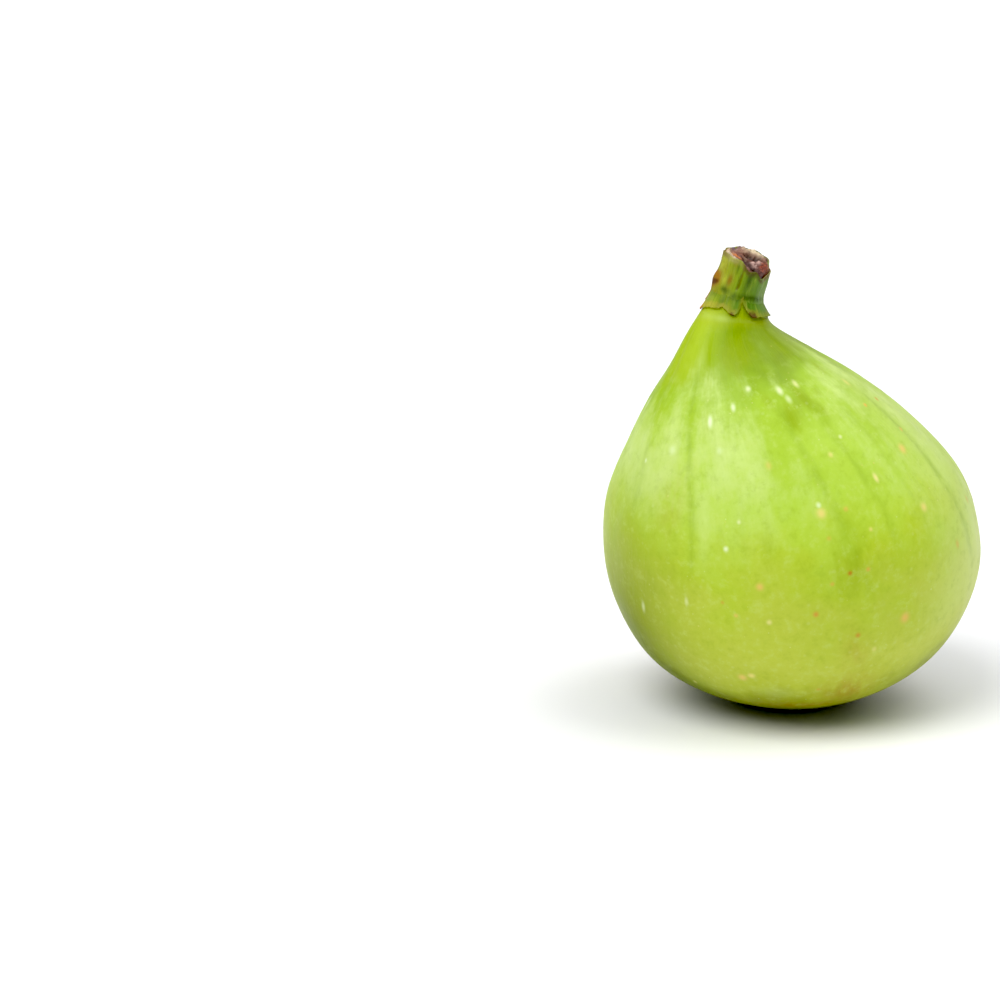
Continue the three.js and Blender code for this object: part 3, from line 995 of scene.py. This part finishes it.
def fleck_spots():
    draw = np.random.default_rng(SEED)
    rows = list(SEEN_FLECKS)
    for _ in range(OTHER_FLECKS):
        place = draw.uniform(*OTHER_PLACES)
        high = smoothstep(place, 8.5, 10.5)
        half_width = draw.uniform(0.28, 0.6)
        half_length = half_width * (1 + high * draw.uniform(0.5, 1.4))
        tint = (1 - high) * draw.uniform(0.1, 1.0)
        bearing, strength = draw.uniform(*OTHER_BEARINGS), draw.uniform(0.4, 0.9)
        rows.append((bearing, place, half_width, half_length, tint, strength))
    return np.array(rows).T


def laid_on(tree, geometry, skin, names):
    """The geometry moved on to the body's skin, by its height over it, with the skin's values there."""
    nearest = add_node(tree, "GeometryNodeProximity", {"Geometry": skin}, target_element="FACES")
    values = {"outwards": (add_node(tree, "GeometryNodeInputNormal").outputs["Normal"], "FLOAT_VECTOR")}
    values.update({name: (named(tree, name, kind), kind) for name, kind in names.items()})
    for name, (value, kind) in values.items():
        inputs = {"Mesh": skin, "Value": value}
        sample = add_node(tree, "GeometryNodeSampleNearestSurface", inputs, data_type=kind)
        geometry = stored(tree, geometry, name, sample.outputs["Value"], kind)
    over = scaled(tree, named(tree, "outwards"), named(tree, "height", "FLOAT"))
    moved = add_node(tree, "ShaderNodeVectorMath", {0: nearest.outputs["Position"], 1: over})
    inputs = {"Geometry": geometry, "Position": moved.outputs["Vector"]}
    return add_node(tree, "GeometryNodeSetPosition", inputs).outputs["Geometry"]


def make_flecks(body, material):
    """Pale and russet flecks, each a low smooth swelling of the skin, drawn out towards the neck."""
    bearing, place, half_width, half_length, tint, strength = fleck_spots()
    outwards, upwards = skin_frames(bearing, place)
    spots = make_piece("fleck_spots", skin_points(bearing, place), [], [], {
        "facing": outwards,
        "upwards": upwards,
        "size": np.stack([half_width, half_length, half_width], -1) * MM * HALO,
        "tint": tint,
        "strength": strength,
    })
    disc = make_disc("fleck_disc", 24, FLECK_PROFILE)
    tree, source = geometry_tree("flecks", {})
    turned = add_node(tree, "FunctionNodeAlignRotationToVector", {"Vector": named(tree, "facing")}, axis="Z")
    inputs = {"Rotation": turned.outputs["Rotation"], "Vector": named(tree, "upwards")}
    turned = add_node(tree, "FunctionNodeAlignRotationToVector", inputs, axis="Y", pivot_axis="Z")
    placed = add_node(tree, "GeometryNodeInstanceOnPoints", {
        "Points": source["Geometry"],
        "Instance": object_mesh(tree, disc),
        "Rotation": turned.outputs["Rotation"],
        "Scale": named(tree, "size"),
    })
    whole = add_node(tree, "GeometryNodeRealizeInstances", {"Geometry": placed.outputs["Instances"]})
    names = {"grain": "FLOAT_VECTOR", **{name: "FLOAT" for name in skin_tones(bearing, place)}}
    finish_tree(tree, laid_on(tree, whole.outputs["Geometry"], object_mesh(tree, body), names), material)
    flecks = grow("flecks", spots, tree, {})
    bpy.data.objects.remove(spots)
    bpy.data.objects.remove(disc)
    return flecks


PORE_SIZES = {
    "Density": ("Float", 45000.0),
    "Lowest place": ("Float", 3.2),
    "Highest place": ("Float", 11.8),
    "Smallest": ("Float", 0.09 * MM),
    "Largest": ("Float", 0.21 * MM),
    "Seed": ("Int", SEED),
}


def make_pores(body, material):
    """Fine pale pores scattered over the skin, from under the belly up to the neck."""
    disc = make_disc("pore_disc", 7, PORE_PROFILE)
    tree, source = geometry_tree("pores", PORE_SIZES)
    place = named(tree, "place", "FLOAT")
    over = compared(tree, "GREATER_THAN", place, source["Lowest place"])
    under = compared(tree, "LESS_THAN", place, source["Highest place"])
    both = add_node(tree, "FunctionNodeBooleanMath", {0: over, 1: under})
    scattered = add_node(tree, "GeometryNodeDistributePointsOnFaces", {
        "Mesh": source["Geometry"],
        "Selection": both.outputs["Boolean"],
        "Density": source["Density"],
        "Seed": source["Seed"],
    }, distribute_method="RANDOM")
    points = stored(tree, scattered.outputs["Points"], "tint", random_value(tree, 0.0, 0.5, 3))
    points = stored(tree, points, "strength", random_value(tree, 0.06, 0.38, 4))
    size = random_value(tree, source["Smallest"], source["Largest"], 5)
    placed = add_node(tree, "GeometryNodeInstanceOnPoints", {
        "Points": points,
        "Instance": object_mesh(tree, disc),
        "Rotation": scattered.outputs["Rotation"],
        "Scale": size,
    })
    whole = add_node(tree, "GeometryNodeRealizeInstances", {"Geometry": placed.outputs["Instances"]})
    names = {"grain": "FLOAT_VECTOR", **{name: "FLOAT" for name in skin_tones(0.0, 8.0)}}
    finish_tree(tree, laid_on(tree, whole.outputs["Geometry"], source["Geometry"], names), material)
    pores = grow("pores", body, tree, PORE_SIZES)
    bpy.data.objects.remove(disc)
    return pores


# The whorls of scales that close the eye: how many, how far each is turned, and its half width,
# root, tip and lift.
EYE_WHORLS = {
    "eye_scales_outer": {"count": 6, "turn": 0, "half_width": 2.1, "root": 1.4, "tip": 0.42, "lift": 0.75},
    "eye_scales_inner": {"count": 5, "turn": 20, "half_width": 1.15, "root": 0.8, "tip": 0.14, "lift": 0.55},
}


def make_eye_scale(half_width, root, tip, lift):
    """One scale of the eye at bearing 0, which points to the eye's middle."""
    rows, columns = 16, 25
    share = np.linspace(0, 1, rows)[:, None]
    side = np.linspace(-1, 1, columns)
    place = root + share * (tip - root) + 0 * side
    width = half_width * np.sqrt(1 - 0.93 * share**2)
    bearing = side * np.degrees(np.arctan2(width, np.maximum(along(place, 0), 0.2)))
    swell = 0.5 * smoothstep(share, 0, 0.5) + 0.5 * share
    uneven = 0.03 * noise_at(side * 4, share * 2, lift)
    rise = lift * swell * (1 - 0.4 * side**2) - 0.06 * (1 - share) + uneven
    thin = 0.3 * (1 - 0.6 * share)
    sink = 0.5 * (1 - smoothstep(share, 0.3, 0.8))
    outer = skin_points(bearing, place, rise)
    inner = skin_points(bearing, place, rise - thin - sink)
    to_edge = np.minimum((1 - share) * 1.4, (1 - np.abs(side)) * 1.4) * np.ones_like(place)
    points = np.concatenate([outer.reshape(-1, 3), inner.reshape(-1, 3)])
    attributes = {"to_edge": np.tile(to_edge.ravel(), 2)}
    return make_piece("eye_scale", points, shell_faces(rows, columns), [], attributes)


def make_whorl(name, count, turn, half_width, root, tip, lift, material):
    """Scales set round the eye's axis, each a little different in size and turn."""
    sizes = {
        "Count": ("Int", count),
        "Axis": ("Vector", tuple(UNDER_AXIS)),
        "Middle": ("Vector", tuple(skin_points(0.0, 0.0) * MM)),
        "Turn": ("Float", math.radians(turn)),
        "Scatter": ("Float", math.radians(5)),
        "Seed": ("Int", SEED + count),
    }
    scale = make_eye_scale(half_width, root, tip, lift)
    tree, source = geometry_tree(name, sizes)
    points = add_node(tree, "GeometryNodePoints", {"Count": source["Count"], "Position": source["Middle"]})
    index = add_node(tree, "GeometryNodeInputIndex").outputs["Index"]
    step = maths(tree, "DIVIDE", 2 * math.pi, source["Count"])
    back = times(tree, source["Scatter"], -1.0)
    angle = plus(tree, times(tree, index, step), source["Turn"])
    angle = plus(tree, angle, random_value(tree, back, source["Scatter"], source["Seed"]))
    turned = add_node(tree, "FunctionNodeAxisAngleToRotation", {"Axis": source["Axis"], "Angle": angle})
    local = add_node(tree, "GeometryNodeTransform", {
        "Geometry": source["Geometry"],
        "Translation": scaled(tree, source["Middle"], -1.0),
    })
    placed = add_node(tree, "GeometryNodeInstanceOnPoints", {
        "Points": points.outputs["Points"],
        "Instance": local.outputs["Geometry"],
        "Rotation": turned.outputs["Rotation"],
        "Scale": random_value(tree, 0.92, 1.06, 2),
    })
    finish_tree(tree, placed.outputs["Instances"], material)
    whorl = grow(name, scale, tree, sizes)
    bpy.data.objects.remove(scale)
    return whorl


# Finishes

# The skin's colour by place, and the neck's from its left to its right: how the photograph shows
# it, and how brightly it is lit there.
SKIN_BY_PLACE = [
    (0.0, (150, 132, 46), 1.1),
    # The darker colours at places 3 to 4.5, low on the underside by the floor, are painted contact shade.
    (3.0, (132, 130, 32), 1.1),
    (4.5, (140, 146, 34), 1.1),
    (5.1, (168, 178, 50), 1.1),
    (5.6, (190, 203, 70), 1.1),
    (6.3, (194, 206, 78), 1.08),
    (7.2, (192, 208, 72), 1.12),
    (7.8, (186, 209, 60), 1.12),
    (8.4, (190, 219, 74), 1.16),
    (9.2, (190, 223, 82), 1.18),
    (10.2, (178, 213, 58), 1.25),
    (10.9, (170, 208, 50), 1.3),
    (11.6, (160, 198, 40), 1.35),
]
NECK_BY_SIDE = [
    (0.0, (172, 198, 44), 1.12),
    (0.12, (178, 204, 58), 1.14),
    (0.25, (166, 196, 36), 1.28),
    (0.41, (149, 182, 4), 1.44),
    (0.59, (142, 173, 2), 1.45),
    (0.75, (143, 172, 26), 1.42),
    (0.88, (142, 168, 30), 1.35),
    # The pale right edge is painted reflection.
    (1.0, (158, 178, 84), 1.2),
]


def skin_material(name, scatter):
    """The skin's finish. Scatter is how much light goes into it and comes out near by."""
    material, tree, shader = new_material(name)
    grain = attribute(tree, "grain", "Vector")
    place = attribute(tree, "place")
    spot = add_node(tree, "ShaderNodeTexCoord").outputs["Object"]

    stops = [(at / AT_COLLAR, seen(*shown, lit)) for at, shown, lit in SKIN_BY_PLACE]
    cloud = noise_value(tree, spot, 110.0, 3.0, 0.55)
    shifted = plus(tree, place, remap(tree, cloud, 0.25, 0.75, -0.45, 0.45))
    colour = ramp(tree, maths(tree, "DIVIDE", shifted, float(AT_COLLAR)), stops)
    side = attribute(tree, "side")
    sides = ramp(tree, side, [(at, seen(*shown, lit)) for at, shown, lit in NECK_BY_SIDE])
    colour = mixed(tree, remap(tree, shifted, 10.3, 11.7), colour, sides)
    # Painted highlight: the skin just under the collar is lighter all round.
    colour = mixed(tree, remap(tree, place, 12.2, 12.8, 0, 0.28), colour, seen(188, 198, 54, 1.15))

    streaks = noise_value(tree, stretched(tree, grain, (6, 6, 1.2)), 1.0, 4.0, 0.6)
    threads = noise_value(tree, stretched(tree, grain, (18, 18, 3.0)), 1.0, 4.0, 0.62)
    upper = times(tree, remap(tree, place, 7.6, 9.0), remap(tree, place, 11.8, 10.9))
    mottle = noise_value(tree, spot, 380.0, 4.0, 0.65)
    sway = plus(tree, swaying(tree, streaks, 0.8), swaying(tree, threads, 0.5))
    sway = plus(tree, sway, swaying(tree, mottle, 0.9))
    # Pale streaks of the skin, with painted highlight on the upper left and at the foot of the collar.
    level = plus(tree, attribute(tree, "pale"), times(tree, sway, upper))
    colour = mixed(tree, remap(tree, level, 0.05, 1.2, 0, 0.85), colour, seen(222, 244, 150))
    green = noise_value(tree, stretched(tree, grain, (8, 8, 1.3)), 1.0, 4.0, 0.6)
    level = plus(tree, attribute(tree, "deep"), swaying(tree, green, 1.2))
    colour = mixed(tree, remap(tree, level, 0.12, 1.0, 0, 0.75), colour, seen(154, 180, 0, 1.3))
    # Painted reflection: a pale edge on the fig's right side, from the lower flank up to below the neck.
    painted_rim_reflection = times(tree, remap(tree, side, 0.86, 1.0, 0, 0.24), remap(tree, place, 11.6, 9.4))
    painted_rim_reflection = times(tree, painted_rim_reflection, remap(tree, place, 4.0, 7.5))
    colour = mixed(tree, painted_rim_reflection, colour, seen(228, 236, 172))
    # Painted shade: the skin is darkened to olive low on the left, along the bottom and low on the right.
    olive = attribute(tree, "olive")
    colour = mixed(tree, times(tree, olive, 0.82), colour, seen(106, 122, 20))
    broken = times(tree, attribute(tree, "line"), remap(tree, threads, 0.3, 0.6, 0.25, 1.0))
    colour = mixed(tree, times(tree, broken, 0.36), colour, seen(126, 162, 14))
    russet = times(tree, attribute(tree, "russet"), remap(tree, threads, 0.3, 0.65, 0.3, 1.2))
    colour = mixed(tree, russet, colour, seen(172, 122, 30))

    speckle = noise_value(tree, spot, 620.0, 4.0, 0.68)
    off_neck = remap(tree, place, 11.4, 10.2, 0.15, 1.0)
    darker = times(tree, remap(tree, speckle, 0.5, 0.72, 0, 0.22), off_neck)
    colour = mixed(tree, darker, colour, seen(150, 184, 30, 1.3))
    # Pale marks and flecks are fainter in the painted shade and towards the bottom.
    calm = times(tree, remap(tree, olive, 0.1, 0.9, 1.0, 0.35), remap(tree, place, 3.5, 6.0, 0.35, 1.0))
    pale_marks = times(tree, off_neck, calm)
    paler = times(tree, remap(tree, speckle, 0.5, 0.3, 0, 0.26), pale_marks)
    colour = mixed(tree, paler, colour, seen(216, 236, 130))
    cells = add_node(tree, "ShaderNodeTexVoronoi", {"Vector": spot, "Scale": 620.0})
    keep = add_node(tree, "ShaderNodeSeparateColor", {"Color": cells.outputs["Color"]}).outputs[0]
    dots = times(tree, remap(tree, cells.outputs["Distance"], 0.25, 0.06), remap(tree, keep, 0.5, 0.9))
    colour = mixed(tree, times(tree, times(tree, dots, pale_marks), 0.16), colour, seen(226, 240, 160))

    fleck = times(tree, attribute(tree, "fleck"), attribute(tree, "strength"))
    fleck = times(tree, fleck, calm)
    tint = ramp(tree, attribute(tree, "tint"), [
        (0.0, seen(234, 248, 196, 1.1)),
        (0.35, seen(238, 224, 134, 1.1)),
        (0.7, seen(232, 180, 84, 1.1)),
        (1.0, seen(190, 124, 36, 1.1)),
    ])
    colour = mixed(tree, fleck, colour, tint)
    tree.links.new(colour, shader.inputs["Base Color"])

    tree.links.new(remap(tree, streaks, 0.3, 0.7, 0.4, 0.5), shader.inputs["Roughness"])
    gloss = remap(tree, place, 10.8, 12.0, 0.26, 0.19)
    # The skin is less glossy in the painted shade, so its reflections are dimmed there too.
    gloss = times(tree, gloss, remap(tree, olive, 0.1, 0.9, 1.0, 0.4))
    tree.links.new(gloss, shader.inputs["Specular IOR Level"])
    let_light_in(shader, scatter, 0.35, 0.0016)

    hairs = noise_value(tree, stretched(tree, grain, (34, 34, 2.4)), 1.0, 3.0, 0.6)
    normal = bumped(tree, hairs, 0.00008, 0.5)
    pebbles = add_node(tree, "ShaderNodeTexVoronoi", {"Vector": spot, "Scale": 1500.0}).outputs["Distance"]
    normal = bumped(tree, pebbles, 0.00003, 0.35, normal)
    tree.links.new(normal, shader.inputs["Normal"])
    return material


# The washes of the stalk, in the order they are laid on: how strongly, and their colours.
STALK_TONES = [
    ("bright", 0.8, seen(196, 202, 74)),
    ("dark_green", 0.9, seen(60, 88, 8)),
    ("brown", 1.0, seen(148, 112, 22)),
]


def stalk_material():
    material, tree, shader = new_material("fig_stalk")
    grain = attribute(tree, "grain", "Vector")
    spot = add_node(tree, "ShaderNodeTexCoord").outputs["Object"]
    colour = ramp(tree, attribute(tree, "side"), [
        (0.02, seen(156, 152, 44)),
        (0.15, seen(156, 168, 36)),
        (0.35, seen(138, 162, 30)),
        (0.55, seen(112, 144, 26)),
        (0.72, seen(106, 142, 34)),
        # The pale right edge is painted reflection.
        (0.88, seen(122, 156, 72)),
        (1.0, seen(140, 166, 96)),
    ])
    strands = noise_value(tree, stretched(tree, grain, (6, 6, 1.6)), 1.0, 4.0, 0.6)
    colour = mixed(tree, remap(tree, strands, 0.52, 0.72, 0, 0.55), colour, seen(84, 116, 16))
    colour = mixed(tree, remap(tree, strands, 0.48, 0.3, 0, 0.5), colour, seen(172, 190, 70))
    mottle = noise_value(tree, spot, 700.0, 3.0, 0.6)
    colour = mixed(tree, remap(tree, mottle, 0.5, 0.75, 0, 0.4), colour, seen(112, 140, 60))
    uneven = remap(tree, mottle, 0.3, 0.65, 0.45, 1.1)
    for name, strength, tone in STALK_TONES:
        patches = times(tree, attribute(tree, name), times(tree, uneven, strength))
        colour = mixed(tree, patches, colour, tone)
    crack = times(tree, remap(tree, attribute(tree, "crack"), 0.1, 0.95), uneven)
    colour = mixed(tree, times(tree, crack, 0.85), colour, seen(104, 84, 14))
    scar = attribute(tree, "scar")
    scarred = times(tree, remap(tree, scar, 0.25, 0.7, 0, 0.85), uneven)
    colour = mixed(tree, scarred, colour, seen(170, 112, 28))
    low = remap(tree, attribute(tree, "place"), SCAR["at"] + 0.12, SCAR["at"] - 0.12)
    under_scar = times(tree, remap(tree, scar, 0.45, 0.8), times(tree, low, 0.9))
    colour = mixed(tree, under_scar, colour, seen(96, 52, 14))
    dried = ramp(tree, attribute(tree, "side"), [
        (0.0, seen(128, 108, 50)),
        (0.12, seen(176, 170, 104)),
        (0.33, seen(160, 156, 76)),
        (0.45, seen(96, 84, 24)),
        (0.75, seen(78, 66, 20)),
        (1.0, seen(140, 116, 70)),
    ])
    rim = remap(tree, attribute(tree, "rim"), 0.05, 0.8)
    rim = times(tree, rim, remap(tree, mottle, 0.25, 0.6, 0.25, 0.9))
    colour = mixed(tree, rim, colour, dried)
    tree.links.new(colour, shader.inputs["Base Color"])
    tree.links.new(remap(tree, mottle, 0.3, 0.7, 0.42, 0.6), shader.inputs["Roughness"])
    shader.inputs["Specular IOR Level"].default_value = 0.4
    let_light_in(shader, 0.08, 0.4, 0.0008)
    threads = noise_value(tree, stretched(tree, grain, (16, 16, 3.0)), 1.0, 4.0, 0.65)
    normal = bumped(tree, threads, 0.00015, 0.7)
    corky = noise_value(tree, spot, 2600.0, 3.0, 0.6)
    normal = bumped(tree, times(tree, corky, remap(tree, scar, 0.2, 0.6, 0.15, 1.0)), 0.00012, 0.7, normal)
    tree.links.new(normal, shader.inputs["Normal"])
    return material


def bract_material():
    material, tree, shader = new_material("fig_bract")
    grain = attribute(tree, "grain", "Vector")
    spot = add_node(tree, "ShaderNodeTexCoord").outputs["Object"]
    side = attribute(tree, "side")
    colour = ramp(tree, side, [
        (0.0, seen(156, 170, 74)),
        (0.12, seen(150, 172, 40)),
        (0.36, seen(124, 148, 22)),
        (0.46, seen(98, 136, 26)),
        (0.75, seen(88, 130, 14)),
        # The pale bluish right edge is painted reflection.
        (0.92, seen(112, 146, 66)),
        (1.0, seen(140, 164, 96)),
    ])
    veins = noise_value(tree, stretched(tree, grain, (9, 9, 1.8)), 1.0, 4.0, 0.6)
    colour = mixed(tree, remap(tree, veins, 0.5, 0.72, 0, 0.6), colour, seen(72, 106, 14))
    colour = mixed(tree, remap(tree, veins, 0.46, 0.3, 0, 0.5), colour, seen(170, 186, 62))
    mottle = noise_value(tree, spot, 800.0, 3.0, 0.6)
    edge = plus(tree, attribute(tree, "to_edge"), remap(tree, mottle, 0.3, 0.7, -0.25, 0.25))
    dry = attribute(tree, "dry")
    tan = mixed(tree, remap(tree, side, 0.05, 0.4), seen(204, 186, 70), seen(156, 154, 48))
    colour = mixed(tree, times(tree, attribute(tree, "dark_green"), 0.85), colour, seen(58, 88, 10))
    pale = times(tree, remap(tree, edge, 1.05, 0.35), remap(tree, dry, 0.1, 0.8, 0.3, 0.8))
    colour = mixed(tree, pale, colour, tan)
    brown = mixed(tree, remap(tree, side, 0.02, 0.2), seen(196, 116, 38), seen(92, 62, 22))
    reach = remap(tree, dry, 0.4, 1.0, 0.0, 0.75)
    colour = mixed(tree, remap(tree, maths(tree, "SUBTRACT", reach, edge), 0.0, 0.35, 0, 0.9), colour, brown)
    tree.links.new(colour, shader.inputs["Base Color"])
    shader.inputs["Roughness"].default_value = 0.5
    shader.inputs["Specular IOR Level"].default_value = 0.28
    let_light_in(shader, 0.1, 0.4, 0.0006)
    threads = noise_value(tree, stretched(tree, grain, (30, 30, 3.0)), 1.0, 3.0, 0.6)
    tree.links.new(bumped(tree, threads, 0.0001, 0.7), shader.inputs["Normal"])
    return material


# The colours of the cut's marks, in the order they are laid on, and how strongly.
CUT_TONES = {
    "maroon": (seen(62, 32, 28), 0.92),
    "beige": (seen(236, 216, 176), 0.95),
    "orange": (seen(226, 136, 66), 0.9),
    "blue": (seen(92, 98, 116), 0.9),
    "lump": (seen(120, 46, 20), 1.0),
    "bead": (seen(230, 190, 176), 0.95),
    "dark": (seen(48, 20, 10), 0.95),
    # The pit is near black: partly its own dried colour and partly painted shade in the hollow.
    "pit": (seen(36, 14, 16), 1.0),
}


def cut_material():
    material, tree, shader = new_material("fig_cut")
    spot = add_node(tree, "ShaderNodeTexCoord").outputs["Object"]
    mottle = noise_value(tree, spot, 1100.0, 4.0, 0.6)
    fine = noise_value(tree, spot, 3400.0, 3.0, 0.6)
    colour = ramp(tree, mottle, [
        (0.3, seen(74, 40, 32)),
        (0.46, seen(144, 92, 72)),
        (0.6, seen(172, 128, 100)),
        (0.76, seen(214, 178, 148)),
    ])
    for name, (tone, strength) in CUT_TONES.items():
        colour = mixed(tree, times(tree, attribute(tree, name), strength), colour, tone)
    strands = times(tree, attribute(tree, "lump"), remap(tree, fine, 0.5, 0.65, 0, 0.7))
    colour = mixed(tree, strands, colour, seen(200, 100, 54))
    colour = mixed(tree, remap(tree, fine, 0.48, 0.3, 0, 0.45), colour, seen(70, 36, 26))
    tree.links.new(colour, shader.inputs["Base Color"])
    shader.inputs["Roughness"].default_value = 0.55
    normal = bumped(tree, mottle, 0.0002, 0.7)
    normal = bumped(tree, fine, 0.00008, 0.7, normal)
    tree.links.new(normal, shader.inputs["Normal"])
    return material


def eye_material():
    material, tree, shader = new_material("fig_eye")
    spot = add_node(tree, "ShaderNodeTexCoord").outputs["Object"]
    mottle = noise_value(tree, spot, 800.0, 4.0, 0.6)
    colour = ramp(tree, mottle, [
        (0.3, seen(110, 112, 38)),
        (0.55, seen(150, 142, 56)),
        (0.75, seen(186, 160, 84)),
    ])
    edge = plus(tree, attribute(tree, "to_edge"), remap(tree, mottle, 0.3, 0.7, -0.2, 0.2))
    colour = mixed(tree, remap(tree, edge, 0.6, 0.15), colour, seen(120, 66, 34))
    tree.links.new(colour, shader.inputs["Base Color"])
    shader.inputs["Roughness"].default_value = 0.55
    tree.links.new(bumped(tree, mottle, 0.0001, 0.6), shader.inputs["Normal"])
    return material


# Stage


def make_stage():
    """A pale floor, soft even light from all round, a large soft light from the upper left."""
    material, tree, shader = new_material("floor_white")
    shader.inputs["Base Color"].default_value = (0.9, 0.9, 0.9, 1)
    shader.inputs["Roughness"].default_value = 0.7
    shader.inputs["Specular IOR Level"].default_value = 0.2
    side = 40000.0
    corners = np.array([(-side, -side, 0), (side, -side, 0), (side, side, 0), (-side, side, 0)])
    floor = make_piece("floor", corners, [(0, 1, 2, 3)], [material])

    world = bpy.data.worlds.new("studio")
    world.use_nodes = True
    background = world.node_tree.nodes["Background"]
    background.inputs["Color"].default_value = (0.94, 0.97, 1.08, 1)
    background.inputs["Strength"].default_value = 0.25
    bpy.context.scene.world = world

    add_light("key", -48, 53, 42, 2.0)
    add_light("overhead", 0, 88, 70, 1.05)
    add_light("fill", 90, 58, 50, 1.2)


def add_light(name, bearing, elevation, spread, strength):
    """A far soft light, by the bearing and height that it shines from and how wide it looks."""
    data = bpy.data.lights.new(name, "SUN")
    data.energy = strength
    data.angle = math.radians(spread)
    lamp = bpy.data.objects.new(name, data)
    flat, turn = math.cos(math.radians(elevation)), math.radians(bearing)
    towards = Vector((flat * math.sin(turn), -flat * math.cos(turn), math.sin(math.radians(elevation))))
    lamp.rotation_euler = towards.to_track_quat("Z", "Y").to_euler()
    bpy.context.scene.collection.objects.link(lamp)


def make_camera():
    """Looks level across the photograph's frame and down at the table, as the photograph does."""
    elevation = math.radians(CAMERA_ELEVATION)
    forward = np.array([0, math.cos(elevation), -math.sin(elevation)])
    right = np.array([1.0, 0.0, 0.0])
    up = np.array([0, math.sin(elevation), math.cos(elevation)])
    focal_pixels = LENS_MM / SENSOR_MM * PHOTO_SIZE
    across, down = ((pixel - PHOTO_SIZE / 2) / focal_pixels * REST_DEPTH for pixel in REST_PIXEL)
    data = bpy.data.cameras.new("camera")
    data.lens = LENS_MM
    data.sensor_width = SENSOR_MM
    data.clip_start = 0.01
    data.clip_end = 100
    camera = bpy.data.objects.new("camera", data)
    camera.location = (-forward * REST_DEPTH - right * across + up * down) * MM
    camera.rotation_euler = (math.pi / 2 - elevation, 0, 0)
    bpy.context.scene.collection.objects.link(camera)
    bpy.context.scene.camera = camera


def add_piece(piece, replaces_solid=False):
    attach(piece, "root")
    if replaces_solid:
        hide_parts("fig")


make_camera()
make_stage()
skin, fleck_skin = skin_material("fig_skin", 0.25), skin_material("fig_flecks", 0.0)
stalk, bract = stalk_material(), bract_material()
body = make_body([skin, stalk])
add_piece(body, replaces_solid=True)
add_piece(make_cut_end(cut_material()))
for bract_name, bract_shape in BRACTS.items():
    add_piece(make_bract(bract_name, material=bract, **bract_shape))
eye = eye_material()
for whorl_name, whorl_shape in EYE_WHORLS.items():
    add_piece(make_whorl(whorl_name, material=eye, **whorl_shape))
add_piece(make_flecks(body, fleck_skin))
add_piece(make_pores(body, fleck_skin))

scene = bpy.context.scene
scene.view_settings.view_transform = "Standard"
scene.view_settings.use_curve_mapping = True
scene.view_settings.curve_mapping.black_level = (BLACK, BLACK, BLACK)
scene.view_settings.curve_mapping.update()
scene.cycles.use_denoising = True
